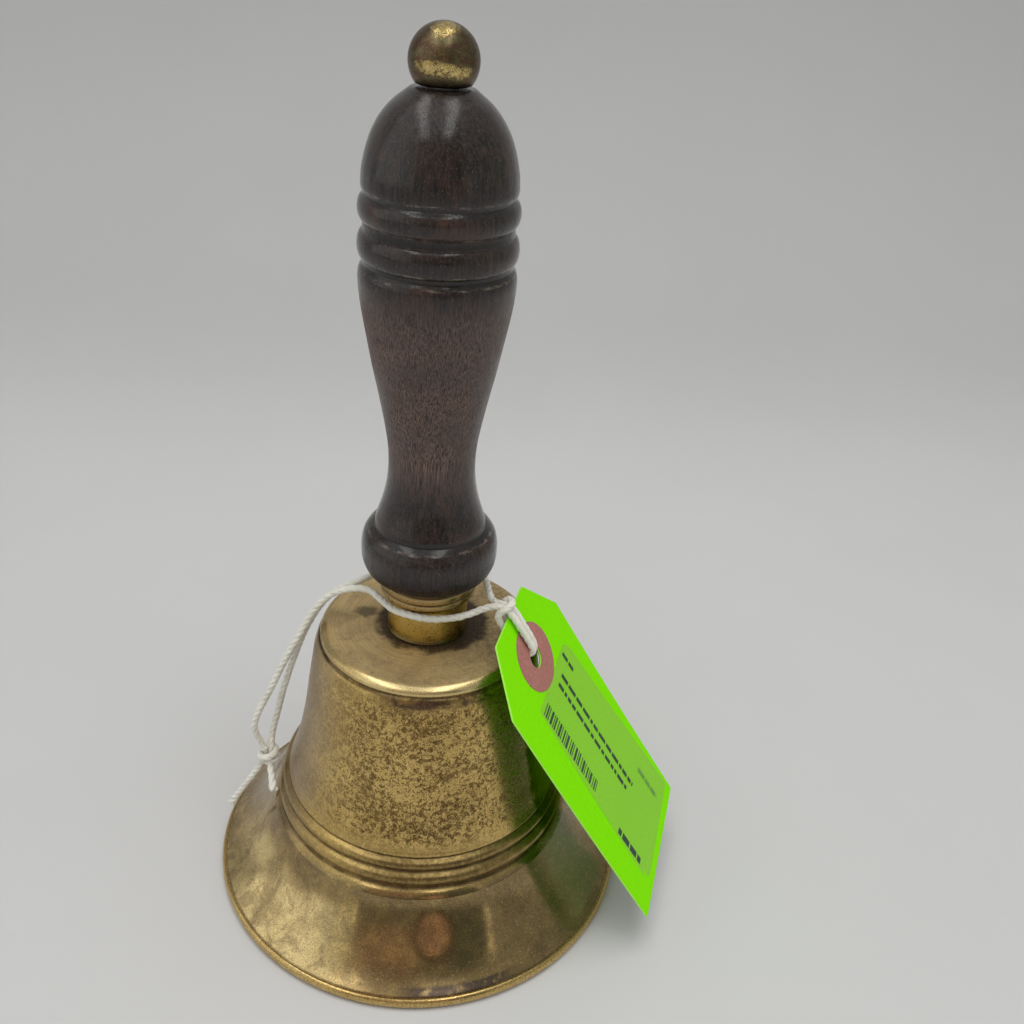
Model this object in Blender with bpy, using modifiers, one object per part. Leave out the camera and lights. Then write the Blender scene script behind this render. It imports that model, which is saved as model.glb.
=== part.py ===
"""Brass hand bell with a turned wooden handle, a ball finial, a swivelling
clapper inside, and a hang tag tied round the neck with cotton string.

Blender works in metres; sizes below are in mm and are scaled as pieces are made.
+Z is up and the rim stands on z = 0. The bell's turning axis is vertical through
x = AXIS_X, y = 0, which centres the whole object in x, tag included.
The front is -Y. Profiles are lists of (radius, height) points.
"""
import math

import bmesh
import bpy
from mathutils import Matrix, Vector

MM = 0.001
GAP = 0.3                # clearance kept between neighbouring pieces


def above(z, height):
    """The (bottom, top) of a piece standing one gap above z."""
    return z + GAP, z + GAP + height


def below(z, height):
    """The (bottom, top) of a piece hanging one gap below z."""
    return z - GAP - height, z - GAP


# ---- driving dimensions, mm; each _Z pair is (bottom, top) -----------------
RIM_RADIUS = 45.9
RIM_BULGE = 0.6          # how far the rounded rim stands out
CROWN_TOP = 63.5         # flat top of the bell
CROWN_THICK = 3.0
CROWN_UNDER = CROWN_TOP - CROWN_THICK
CROWN_RADIUS = 20.2      # the crown's flat
WALL = 2.2

ROD_RADIUS = 2.5
ROD_Z = (47.6, 173.6)
ROD_CHAMFER = 0.4
BORE = ROD_RADIUS + GAP  # radius of the hole in each piece threaded on the rod

# Threaded on the rod above the crown, going up
COLLAR_RADIUS = 8.2
COLLAR_Z = above(CROWN_TOP, 8.6)
FERRULE_RADIUS = 9.75
FERRULE_LIP_RADIUS = 10.15
FERRULE_LIP_Z = (76.15, 76.35)   # slope under the lip
FERRULE_CHAMFER = 0.2
FERRULE_Z = above(COLLAR_Z[1], 4.3)
GRIP_Z = above(FERRULE_Z[1], 91.0)
FINIAL_TOP = 178.0
FINIAL_RADIUS = 5.75
FINIAL_SEAT = GRIP_Z[1] + GAP
FINIAL_BORE_TOP = 174.0

# Threaded on the rod under the crown, going down
YOKE_THICK = 1.8
WASHER_RADIUS = 9.0
WASHER_Z = below(CROWN_UNDER, 1.2)
SPRING_RADIUS = 4.7
SPRING_Z = below(WASHER_Z[0], 1.0)
CLAMP_NUT_Z = below(SPRING_Z[0], 4.0)
YOKE_PLATE_Z = below(CLAMP_NUT_Z[0], YOKE_THICK)
YOKE_NUT_Z = below(YOKE_PLATE_Z[0], 2.6)
NUT_FLATS = 8.0          # across flats

# Clapper and its hanger
PIVOT_Z = 43.8           # clapper pin
YOKE_HALF = 5.5          # half the gap between the yoke's ears
YOKE_WIDTH = 9.0
EAR_DROP = 4.3           # from the pin down to the ears' lower ends
PIN_RADIUS = 1.5
PIN_HEAD_RADIUS = 2.6
EYE_RADIUS = 3.4
EYE_WIDTH = 4.0
STEM_RADIUS = 1.8
STEM_TOP = -2.6          # relative to the pin
CLAPPER_Z = 9.0          # centre of the clapper ball at rest
CLAPPER_RADIUS = 7.0
STEM_END_UP = -2.0       # stem's end relative to the ball's centre

# Tag and string
STRING_RADIUS = 0.75
BIGHT_RADIUS = 1.9       # bend radius of the string bights
BIGHT_STEPS = 8
HITCH_BACK = 1.75        # how far the hitch's back run lies from the card's middle
TAG_WIDTH = 35.7
TAG_LENGTH = 71.4
TAG_THICK = 0.5
TAG_CLIP = (8.5, 11.6)   # what each clipped corner takes off: across, along
HOLE_TO_END = 11.2       # hole centre to the clipped end
HOLE_DROP = 13.9         # hole centre below the hinge
HOLE_RADIUS = 2.4
HOLE_STEPS = 24
PATCH_RADIUS = 7.25
SHEET_THICK = 0.2        # patches and label
LABEL_SIZE = (24.5, 50.0)
LABEL_SHIFT = 3.0        # label's centre, across from the tag's middle
LABEL_DROP = 7.9         # from the hole centre to the label's upper edge
TAG_HOLE = Vector((22.13, -9.73, 62.34))
TAG_ACROSS = Vector((0.302, 0.947, 0.109)).normalized()
TAG_DOWN = Vector((0.531, -0.070, -0.844))
TAG_DOWN = (TAG_DOWN - TAG_ACROSS * TAG_DOWN.dot(TAG_ACROSS)).normalized()
TAG_FACING = TAG_DOWN.cross(TAG_ACROSS).normalized()
HINGE = TAG_HOLE - TAG_DOWN * HOLE_DROP      # where string bight meets hitch

# The tag stands out past the rim on +X only.
TAG_FAR = (TAG_HOLE + TAG_DOWN * (TAG_LENGTH - HOLE_TO_END)
           + TAG_ACROSS * (TAG_WIDTH / 2) + TAG_FACING * (TAG_THICK / 2))
AXIS_X = -(TAG_FAR.x - RIM_RADIUS) / 2

# ---- clean start -----------------------------------------------------------
for old in list(bpy.data.objects):
    bpy.data.objects.remove(old, do_unlink=True)

MODEL = bpy.data.collections.new("brass_hand_bell")
CUTTERS = bpy.data.collections.new("cutters")
for collection in (MODEL, CUTTERS):
    bpy.context.scene.collection.children.link(collection)


# ---- materials -------------------------------------------------------------
def material(name, colour, roughness, metallic=0.0):
    mat = bpy.data.materials.new(name)
    mat.use_nodes = True
    shader = mat.node_tree.nodes["Principled BSDF"]
    shader.inputs["Base Color"].default_value = (*colour, 1.0)
    shader.inputs["Roughness"].default_value = roughness
    shader.inputs["Metallic"].default_value = metallic
    mat.diffuse_color = (*colour, 1.0)
    return mat


BELL_BRASS = material("aged_brass", colour=(0.42, 0.29, 0.12), roughness=0.36, metallic=1.0)
NECK_BRASS = material("warm_brass", colour=(0.55, 0.34, 0.08), roughness=0.32, metallic=1.0)
BALL_BRASS = material("tarnished_brass", colour=(0.30, 0.20, 0.08), roughness=0.30, metallic=1.0)
WOOD = material("dark_stained_wood", colour=(0.045, 0.033, 0.030), roughness=0.34)
STEEL = material("zinc_steel", colour=(0.45, 0.45, 0.44), roughness=0.40, metallic=1.0)
IRON = material("dull_iron", colour=(0.16, 0.15, 0.14), roughness=0.55, metallic=1.0)
STRING = material("cotton_string", colour=(0.72, 0.70, 0.66), roughness=0.90)
CARD = material("neon_card", colour=(0.19, 0.80, 0.005), roughness=0.60)
PATCH = material("mauve_patch", colour=(0.42, 0.16, 0.20), roughness=0.75)
LABEL = material("film_label", colour=(0.20, 0.50, 0.03), roughness=0.55)


# ---- points along curves ---------------------------------------------------
def curve_through(stations, per_span=2):
    """Points on a smooth (Catmull-Rom) curve through the given stations."""
    knots = [Vector(station) for station in stations]
    knots = [knots[0] * 2 - knots[1]] + knots + [knots[-1] * 2 - knots[-2]]
    points = []
    for i in range(1, len(knots) - 2):
        before, start, end, after = knots[i - 1:i + 3]
        for k in range(per_span):
            t = k / per_span
            points.append(0.5 * ((2 * start) + (end - before) * t
                                 + (2 * before - 5 * start + 4 * end - after) * t * t
                                 + (3 * start - before - 3 * end + after) * t ** 3))
    points.append(knots[-2])
    return points


def arc(centre, radii, angles, steps):
    """Points on an elliptical arc; angles are (first, last) in degrees."""
    first, last = angles
    turns = [math.radians(first + (last - first) * i / steps) for i in range(steps + 1)]
    return [Vector((centre[0] + radii[0] * math.cos(turn), centre[1] + radii[1] * math.sin(turn)))
            for turn in turns]


def bezier(start, control, end, steps):
    """Points on a quadratic Bezier curve."""
    start, control, end = Vector(start), Vector(control), Vector(end)
    return [start * (1 - t) ** 2 + control * 2 * t * (1 - t) + end * t * t
            for t in (i / steps for i in range(steps + 1))]


def offset(points, distance):
    """The same curve moved sideways, to the right of its direction."""
    moved = []
    for i, point in enumerate(points):
        before, after = points[max(i - 1, 0)], points[min(i + 1, len(points) - 1)]
        along = (after - before).normalized()
        moved.append(point + Vector((along.y, -along.x)) * distance)
    return moved


# ---- making objects --------------------------------------------------------
def add_object(name, data, mat, parent):
    obj = bpy.data.objects.new(name, data)
    MODEL.objects.link(obj)
    if mat:
        data.materials.append(mat)
    obj.parent = parent
    return obj


def add_mesh(name, bm, mat, parent):
    mesh = bpy.data.meshes.new(name)
    bm.to_mesh(mesh)
    bm.free()
    return add_object(name, mesh, mat, parent)


def empty(name, location, parent=None, rotation=Matrix.Identity(3)):
    obj = add_object(name, None, None, parent)
    obj.empty_display_size = 0.01
    obj.matrix_basis = Matrix.Translation(Vector(location) * MM) @ rotation.to_4x4()
    return obj


def turned(name, profile, mat=None, parent=None, closed=False, segments=24):
    """A lathe-turned piece: a profile swept round Z by a Screw.

    A closed profile makes a ring; an open one has both its ends on the axis.
    """
    bm = bmesh.new()
    verts = [bm.verts.new((point[0] * MM, 0.0, point[1] * MM)) for point in profile]
    for pair in zip(verts, verts[1:]):
        bm.edges.new(pair)
    if closed:
        bm.edges.new((verts[-1], verts[0]))
    obj = add_mesh(name, bm, mat, parent)
    screw = obj.modifiers.new("turn", "SCREW")
    screw.axis = "Z"
    screw.angle = 2 * math.pi
    screw.steps = screw.render_steps = segments
    screw.use_merge_vertices = True
    screw.merge_threshold = 0.00002
    screw.use_smooth_shade = True
    return obj


def ring(name, inner, outer, span, mat, parent, chamfer=0.0, segments=28):
    """A flat-ended ring between two radii, its outer edges chamfered if asked."""
    bottom, top = span
    if chamfer:
        edge = [(outer - chamfer, top), (outer, top - chamfer),
                (outer, bottom + chamfer), (outer - chamfer, bottom)]
    else:
        edge = [(outer, top), (outer, bottom)]
    return turned(name, [(inner, top), *edge, (inner, bottom)], mat, parent, True, segments)


def block(name, size, centre, mat=None, parent=None):
    bm = bmesh.new()
    bmesh.ops.create_cube(bm, size=1.0)
    bmesh.ops.scale(bm, vec=Vector(size) * MM, verts=bm.verts)
    obj = add_mesh(name, bm, mat, parent)
    obj.location = Vector(centre) * MM
    return obj


def cylinder(name, radius, length, z=0.0, mat=None, parent=None, along_x=False, segments=24):
    """A cylinder centred at height z on its parent's Z axis."""
    bm = bmesh.new()
    bmesh.ops.create_cone(bm, cap_ends=True, segments=segments, radius1=radius * MM,
                          radius2=radius * MM, depth=length * MM)
    if along_x:
        bmesh.ops.rotate(bm, cent=(0, 0, 0), matrix=Matrix.Rotation(math.radians(90), 3, "Y"),
                         verts=bm.verts)
    obj = add_mesh(name, bm, mat, parent)
    obj.location = Vector((0, 0, z)) * MM
    return obj


def cut(target, tool, operation="DIFFERENCE"):
    """Combine target with a tool, which becomes a hidden helper beside it."""
    tool.parent = target.parent
    MODEL.objects.unlink(tool)
    CUTTERS.objects.link(tool)
    tool.hide_render = True
    tool.display_type = "WIRE"
    boolean = target.modifiers.new(operation.lower() + "_" + tool.name, "BOOLEAN")
    boolean.operation = operation
    boolean.solver = "EXACT"
    boolean.object = tool


def add_spline(curve, points, cyclic):
    spline = curve.splines.new("POLY")
    spline.points.add(len(points) - 1)
    for target, point in zip(spline.points, points):
        target.co = (*(value * MM for value in point), 1.0)
    spline.use_cyclic_u = cyclic


def cord(name, points, parent, cyclic=False):
    curve = bpy.data.curves.new(name, "CURVE")
    curve.dimensions = "3D"
    curve.bevel_depth = STRING_RADIUS * MM
    curve.bevel_resolution = 2
    curve.use_fill_caps = not cyclic
    curve.render_resolution_u = 0
    add_spline(curve, points, cyclic)
    add_object(name, curve, STRING, parent)


# ---- bell shell ------------------------------------------------------------
def bell_shell():
    waist = curve_through([(23.5, 58.0), (24.7, 50.0), (25.8, 42.0), (27.4, 34.0), (29.0, 28.4)])
    flare = bezier((33.0, 18.2), (37.2, 8.0), (44.75, 2.7), 7)
    shoulder = [(21.2, 61.8), (22.2, 61.6), (22.8, 61.1), (23.1, 60.0)]
    beads = [(29.75, 26.4), (29.65, 25.9), (30.0, 25.6), (31.0, 24.9), (31.1, 23.9),
             (30.65, 23.0), (31.75, 22.2), (32.1, 21.2), (31.9, 20.2), (31.65, 19.5)]
    rim_centre = RIM_RADIUS - RIM_BULGE
    outer = [(BORE, CROWN_TOP), (CROWN_RADIUS, CROWN_TOP)]
    outer += arc((CROWN_RADIUS, CROWN_TOP - 1.1), (0.85, 1.1), (60, 0), 2)
    outer += shoulder + waist + beads + flare + [(44.85, 2.4)]
    outer += arc((rim_centre, 1.2), (RIM_BULGE, 1.2), (60, -60), 4) + [(rim_centre, 0.0)]

    # The inside follows the outside's trend, passing smoothly behind the beads.
    trend = waist[::2] + [Vector((30.2, 25.0)), Vector((31.6, 20.8))] + flare[0:-1:2]
    inner = [(42.9, 0.0), (42.3, 0.5)]
    inner += [point for point in reversed(offset(trend, WALL)) if 0.9 < point.y < 60.0]
    inner += [(20.4, CROWN_UNDER - 0.8), (19.6, CROWN_UNDER), (BORE, CROWN_UNDER)]
    turned("bell_shell", outer + inner, BELL_BRASS, AXIS, closed=True, segments=36)


# ---- neck, handle and tie rod ----------------------------------------------
def handle_ferrule():
    bottom, top = FERRULE_Z
    slope_bottom, slope_top = FERRULE_LIP_Z
    profile = [(BORE, top), (FERRULE_LIP_RADIUS, top), (FERRULE_LIP_RADIUS, slope_top),
               (FERRULE_RADIUS, slope_bottom), (FERRULE_RADIUS, bottom + FERRULE_CHAMFER),
               (FERRULE_RADIUS - FERRULE_CHAMFER, bottom), (BORE, bottom)]
    turned("handle_ferrule", profile, NECK_BRASS, AXIS, closed=True, segments=28)


def handle_grip():
    bottom, top = GRIP_Z
    profile = [(BORE, top)]
    # Domed head
    profile += curve_through([(5.4, top), (9.95, 164.0), (12.0, 160.0), (13.1, 156.0),
                              (13.3, 153.2)])
    # Two beads
    profile += [(12.85, 151.6)] + arc((12.9, 149.2), (0.95, 1.9), (60, -60), 2)
    profile += [(13.2, 146.2)] + arc((13.0, 143.1), (0.95, 2.0), (60, -60), 2)
    # Long hollow taper
    profile += [(13.05, 140.1), (13.6, 139.2)]
    profile += curve_through([(13.85, 137.0), (13.0, 130.0), (9.9, 114.0), (8.3, 102.0),
                              (9.9, 92.0), (10.8, 88.4)])
    # Rounded foot
    profile += [(12.1, 87.2)] + curve_through([(13.0, 86.0), (13.55, 83.0), (13.2, 80.0),
                                              (12.3, 78.0)])
    profile += [(11.0, bottom), (BORE, bottom)]
    turned("handle_grip", profile, WOOD, AXIS, closed=True)


def finial_ball():
    centre = FINIAL_TOP - FINIAL_RADIUS
    seat_angle = math.degrees(math.asin((FINIAL_SEAT - centre) / FINIAL_RADIUS))
    profile = [(0.0, FINIAL_TOP)]
    profile += arc((0, centre), (FINIAL_RADIUS, FINIAL_RADIUS), (72, seat_angle), 8)
    profile += [(BORE, FINIAL_SEAT), (BORE, FINIAL_BORE_TOP), (0.0, FINIAL_BORE_TOP)]
    turned("finial_ball", profile, BALL_BRASS, AXIS)


def tie_rod():
    bottom, top = ROD_Z
    end_radius = ROD_RADIUS - ROD_CHAMFER
    profile = [(0.0, top), (end_radius, top), (ROD_RADIUS, top - ROD_CHAMFER),
               (ROD_RADIUS, bottom + ROD_CHAMFER), (end_radius, bottom), (0.0, bottom)]
    turned("tie_rod", profile, STEEL, AXIS)


# ---- fastenings under the crown --------------------------------------------
def spring_washer():
    """A ring split on +X by a slanting slot."""
    washer = ring("spring_washer", BORE, SPRING_RADIUS, SPRING_Z, STEEL, AXIS, segments=24)
    slot = block("spring_washer_slot", size=(4.0, 0.9, 3.0), centre=(3.8, 0.0, sum(SPRING_Z) / 2))
    slot.rotation_euler = (math.radians(18), 0, 0)
    cut(washer, slot)


def hex_nut(name, span):
    bottom, top = span
    middle = (bottom + top) / 2
    nut = cylinder(name, NUT_FLATS / math.sqrt(3), top - bottom, middle, STEEL, AXIS, segments=6)
    # The cones that take off the nut's corners run past its ends and its sides.
    cone_end, cone_side, past_end, below_end = 3.4, 5.2, 0.5, 0.55
    cut(nut, turned(name + "_chamfer", [
        (0.0, top + past_end), (cone_end, top + past_end), (cone_side, top - below_end),
        (cone_side, bottom + below_end), (cone_end, bottom - past_end),
        (0.0, bottom - past_end)]), "INTERSECT")
    cut(nut, cylinder(name + "_bore", BORE, length=20, z=middle))


# ---- clapper hanger: turns freely round the rod's end ----------------------
def clapper_yoke():
    """A folded U with its ears down; heights here are relative to the pin."""
    top, plate_under = YOKE_PLATE_Z[1] - PIVOT_Z, YOKE_PLATE_Z[0] - PIVOT_Z
    size = (2 * (YOKE_HALF + YOKE_THICK), YOKE_WIDTH, top + EAR_DROP)
    yoke = block("clapper_yoke", size, (0, 0, (top - EAR_DROP) / 2), STEEL, HANGER)
    bevel = yoke.modifiers.new("folded_corners", "BEVEL")
    bevel.width = 1.0 * MM
    bevel.segments = 2
    bevel.limit_method = "ANGLE"
    bevel.use_clamp_overlap = True
    inside_height = 20.0
    cut(yoke, block("yoke_inside", (2 * YOKE_HALF, YOKE_WIDTH + 4, inside_height),
                    (0, 0, plate_under - inside_height / 2)))
    cut(yoke, cylinder("yoke_rod_hole", ROD_RADIUS + 0.4, length=12, z=plate_under))
    cut(yoke, cylinder("yoke_pin_hole", PIN_RADIUS + GAP, length=24, along_x=True))


def yoke_pin():
    """A pin with a chamfered head outside each ear, laid along X."""
    seat = YOKE_HALF + YOKE_THICK + GAP
    head = [(0.0, seat + 1.1), (1.7, seat + 1.1), (PIN_HEAD_RADIUS, seat + 0.4),
            (PIN_HEAD_RADIUS, seat), (PIN_RADIUS, seat)]
    profile = head + [(radius, -height) for radius, height in reversed(head)]
    pin = turned("yoke_pin", profile, STEEL, HANGER, segments=16)
    pin.rotation_euler = (0, math.radians(90), 0)


# ---- clapper: swings on the pin; heights are relative to the pin -----------
BALL_CENTRE = CLAPPER_Z - PIVOT_Z
STEM_END = BALL_CENTRE + STEM_END_UP


def clapper_stem():
    stem = cylinder("clapper_stem", STEM_RADIUS, STEM_TOP - STEM_END, (STEM_TOP + STEM_END) / 2,
                    IRON, CLAPPER)
    cut(stem, cylinder("clapper_eye", EYE_RADIUS, EYE_WIDTH, along_x=True), "UNION")
    cut(stem, cylinder("clapper_eye_hole", PIN_RADIUS + 0.4, length=10, along_x=True))


def clapper_ball():
    """A ball with a flat top, bored to take the stem's end."""
    flat = 0.93          # height of the flat over the centre, in radii
    socket, floor = STEM_RADIUS + GAP, STEM_END - 0.4
    profile = [(0.0, floor), (socket, floor), (socket, BALL_CENTRE + CLAPPER_RADIUS * flat)]
    profile += arc((0, BALL_CENTRE), (CLAPPER_RADIUS, CLAPPER_RADIUS),
                   (math.degrees(math.asin(flat)), -75), 9)
    profile += [(0.0, BALL_CENTRE - CLAPPER_RADIUS)]
    turned("clapper_ball", profile, IRON, CLAPPER)


# ---- cotton string: a loose loop round the neck, both ends hanging on -X ---
# Stations (x, y, z): from one end up and past the front of the neck...
FRONT_RUN = [
    (-44.3, 0.8, 9.2), (-40.6, 0.4, 15.6), (-37.2, 0.1, 21.3), (-35.3, -0.2, 25.5),
    (-36.0, -0.6, 29.4), (-37.2, -0.8, 34.0), (-35.8, -0.9, 39.0), (-33.3, -0.9, 45.0),
    (-29.7, -0.9, 53.4), (-26.6, -0.5, 59.6), (-23.9, -0.2, 65.0), (-20.4, 0.0, 69.6),
    (-15.8, -0.2, 71.8), (-12.0, -0.9, 71.7), (-9.2, -3.6, 71.2), (-6.2, -7.2, 71.2),
    (0.0, -9.6, 71.2), (5.2, -8.8, 71.0), (8.7, -7.9, 71.4), (11.1, -9.1, 73.0)]
# ...and from the bight past the back of the neck and down to the other end.
BACK_RUN = [
    (12.7, -5.0, 73.0), (12.4, -2.4, 73.1), (11.8, 1.0, 73.3), (10.6, 4.4, 73.3),
    (6.8, 9.3, 73.0), (0.0, 11.6, 72.4), (-6.2, 10.2, 71.6), (-10.8, 7.0, 70.8),
    (-14.8, 4.1, 70.5), (-18.6, 2.6, 69.7), (-21.4, 2.1, 67.6), (-23.7, 1.9, 64.2),
    (-26.0, 1.6, 59.8), (-28.4, 1.4, 52.2), (-30.8, 1.3, 43.6), (-32.5, 1.3, 36.0),
    (-33.7, 1.1, 30.4), (-34.0, -0.4, 26.4), (-33.7, -3.6, 23.9), (-32.9, -6.7, 21.6)]


def tag_string():
    outward = TAG_ACROSS.cross(Vector((0, 0, 1))).normalized()    # level
    centre = HINGE - outward * BIGHT_RADIUS
    turns = [math.radians(12 + 156 * i / BIGHT_STEPS) for i in range(BIGHT_STEPS + 1)]
    bight = [centre + (outward * math.sin(turn) - TAG_ACROSS * math.cos(turn)) * BIGHT_RADIUS
             for turn in turns]
    cord("tag_string", FRONT_RUN + bight + BACK_RUN, AXIS)


# ---- tag: x across, y towards its clipped end, z out of its face -----------
HOLE_Y = -HOLE_DROP
FACE = TAG_THICK / 2 + GAP       # where a sheet lies off the card's middle


def tag_card():
    card = bpy.data.curves.new("tag_card", "CURVE")
    card.dimensions = "2D"
    card.fill_mode = "BOTH"
    card.extrude = TAG_THICK / 2 * MM
    card.render_resolution_u = 0
    half = TAG_WIDTH / 2
    clip_x, clip_y = TAG_CLIP
    top = HOLE_Y + HOLE_TO_END
    bottom = top - TAG_LENGTH
    outline = [(-half + clip_x, top, 0), (half - clip_x, top, 0), (half, top - clip_y, 0),
               (half, bottom, 0), (-half, bottom, 0), (-half, top - clip_y, 0)]
    turns = [2 * math.pi * i / HOLE_STEPS for i in range(HOLE_STEPS)]
    hole = [(HOLE_RADIUS * math.cos(turn), HOLE_Y + HOLE_RADIUS * math.sin(turn), 0)
            for turn in turns]
    for loop in (outline, hole):
        add_spline(card, loop, cyclic=True)
    add_object("tag_card", card, CARD, TAG)


def tag_patches():
    for name, z in (("tag_patch_front", FACE), ("tag_patch_back", -FACE - SHEET_THICK)):
        patch = ring(name, HOLE_RADIUS, PATCH_RADIUS, (z, z + SHEET_THICK), PATCH, TAG,
                     segments=24)
        patch.location = (0, HOLE_Y * MM, 0)


def tag_label():
    width, length = LABEL_SIZE
    centre = (LABEL_SHIFT, HOLE_Y - LABEL_DROP - length / 2, FACE + SHEET_THICK / 2)
    block("tag_label", (width, length, SHEET_THICK), centre, LABEL, TAG)


def tag_hitch():
    """A closed loop of string: over the string's bight, then through the hole."""
    points = []
    for centre_y, start in ((0.1, 0.0), (HOLE_Y + 2.3, math.pi)):
        for i in range(BIGHT_STEPS + 1):
            turn = start + math.pi * i / BIGHT_STEPS
            side = math.cos(turn)
            reach = BIGHT_RADIUS if side > 0 else HITCH_BACK
            points.append((0.0, centre_y + BIGHT_RADIUS * math.sin(turn), side * reach))
    cord("tag_hitch", points, TAG, cyclic=True)


# ---- assembly --------------------------------------------------------------
AXIS = empty("bell_axis", (AXIS_X, 0, 0))
HANGER = empty("hanger_axis", (0, 0, PIVOT_Z), AXIS)
CLAPPER = empty("clapper_axis", (0, 0, 0), HANGER)
TAG = empty("tag_axis", HINGE, AXIS, Matrix((TAG_ACROSS, -TAG_DOWN, TAG_FACING)).transposed())

bell_shell()
ring("crown_collar", BORE, COLLAR_RADIUS, COLLAR_Z, NECK_BRASS, AXIS, chamfer=0.2)
handle_ferrule()
handle_grip()
finial_ball()
tie_rod()
ring("crown_washer", BORE, WASHER_RADIUS, WASHER_Z, STEEL, AXIS, chamfer=0.15)
spring_washer()
hex_nut("clamp_nut", CLAMP_NUT_Z)
hex_nut("yoke_nut", YOKE_NUT_Z)
clapper_yoke()
yoke_pin()
clapper_stem()
clapper_ball()
tag_string()
tag_card()
tag_patches()
tag_label()
tag_hitch()

bpy.context.view_layer.update()
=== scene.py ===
"""Looks of a brass hand bell with a turned wooden handle, a cotton string and a paper tag.

The bell stands mouth down on z = 0 and its turning axis is the tie rod. Seen from the
front (-Y), +X is to the right. The string runs from a knot on the left, round the collar
under the handle, to the tag on the right. Lengths are in millimetres about the axis unless
a comment says otherwise; MM turns them into metres."""

import math
import random

import bmesh
import bpy
from mathutils import Matrix, Vector, noise


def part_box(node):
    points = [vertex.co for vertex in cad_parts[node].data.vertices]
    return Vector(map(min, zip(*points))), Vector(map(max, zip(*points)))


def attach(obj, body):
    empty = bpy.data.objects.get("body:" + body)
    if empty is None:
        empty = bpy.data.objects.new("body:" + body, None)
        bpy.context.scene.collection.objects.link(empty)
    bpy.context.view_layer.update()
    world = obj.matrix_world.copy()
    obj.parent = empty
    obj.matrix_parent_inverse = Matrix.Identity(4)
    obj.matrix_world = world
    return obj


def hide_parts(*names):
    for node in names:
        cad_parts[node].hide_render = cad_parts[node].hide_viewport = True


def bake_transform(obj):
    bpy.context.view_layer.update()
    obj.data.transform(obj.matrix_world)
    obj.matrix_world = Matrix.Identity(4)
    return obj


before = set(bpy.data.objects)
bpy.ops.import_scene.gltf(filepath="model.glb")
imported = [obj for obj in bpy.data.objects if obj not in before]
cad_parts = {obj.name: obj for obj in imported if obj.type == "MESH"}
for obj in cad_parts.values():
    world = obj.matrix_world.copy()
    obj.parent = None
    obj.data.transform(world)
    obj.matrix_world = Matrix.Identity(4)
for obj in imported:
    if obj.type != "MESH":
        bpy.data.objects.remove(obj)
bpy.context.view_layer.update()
MM = 0.001

rod_low, rod_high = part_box("tie_rod")
AXIS_X = (rod_low.x + rod_high.x) / 2        # metres
ORIGIN = Vector((AXIS_X, 0, 0))

BORE = 2.8                                   # radius of every hole the tie rod passes through
PIN_HEIGHT = 43.8                            # the clapper swings about this height
PIN_ORIGIN = ORIGIN + Vector((0, 0, PIN_HEIGHT * MM))
BELL_SEGMENTS = 224


# ============================================================ shader graphs
class Graph:
    """Adds nodes to a node tree."""

    def __init__(self, tree):
        self.tree = tree

    def put(self, socket, value):
        if isinstance(value, Value):
            self.tree.links.new(value.socket, socket)
        elif socket.type == "RGBA":
            socket.default_value = (*value, 1.0)
        else:
            socket.default_value = value

    def add(self, kind, inputs=(), **props):
        """A new node; inputs maps socket names or numbers to values."""
        node = self.tree.nodes.new(kind)
        for key, value in props.items():
            setattr(node, key, value)
        for key, value in dict(inputs).items():
            self.put(node.inputs[key], value)
        return node

    def value(self, kind, inputs=(), output=0, **props):
        """One output of a new node."""
        return Value(self, self.add(kind, inputs, **props).outputs[output])


class Value:
    """An output socket that can be calculated with; each operation adds a node."""

    def __init__(self, graph, socket):
        self.graph, self.socket = graph, socket

    def __add__(self, other):
        return calc("ADD", self, other)

    def __sub__(self, other):
        return calc("SUBTRACT", self, other)

    def __rsub__(self, other):
        return calc("SUBTRACT", other, self)

    def __mul__(self, other):
        return calc("MULTIPLY", self, other)

    def __truediv__(self, other):
        return calc("DIVIDE", self, other)

    def __abs__(self):
        return calc("ABSOLUTE", self)

    def mix(self, colour_0, colour_1):
        """colour_0 where this is 0, colour_1 where it is 1."""
        return self.graph.value("ShaderNodeMix", {0: self, 6: colour_0, 7: colour_1}, 2,
                                data_type="RGBA")

    def lerp(self, number_0, number_1):
        """number_0 where this is 0, number_1 where it is 1."""
        return self.graph.value("ShaderNodeMix", {0: self, 2: number_0, 3: number_1},
                                data_type="FLOAT")

    def step(self, off, on, first=0.0, last=1.0):
        """Smooth change from first, where this equals off, to last, where it equals on."""
        values = dict(enumerate((self, off, on, first, last)))
        return self.graph.value("ShaderNodeMapRange", values, interpolation_type="SMOOTHSTEP")

    def band(self, at, half, soft):
        """1 within half of the place at, fading to 0 over soft."""
        return abs(self - at).step(half, half + soft, 1.0, 0.0)

    def noise(self, scale, detail=3.0, rough=0.55, distort=0.0):
        return self.graph.value("ShaderNodeTexNoise", {
            "Vector": self, "Scale": scale, "Detail": detail, "Roughness": rough,
            "Distortion": distort})

    def cells(self, scale):
        """Distance to the nearest of scattered points."""
        return self.graph.value("ShaderNodeTexVoronoi", {"Vector": self, "Scale": scale})

    def stretch(self, scale=(1, 1, 1), offset=(0, 0, 0)):
        return self.graph.value("ShaderNodeMapping",
                                {"Vector": self, "Scale": scale, "Location": offset})

    def bump(self, distance, strength):
        """A normal from this height; distance in metres."""
        return self.graph.value("ShaderNodeBump", {
            "Height": self, "Distance": distance, "Strength": strength})


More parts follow.
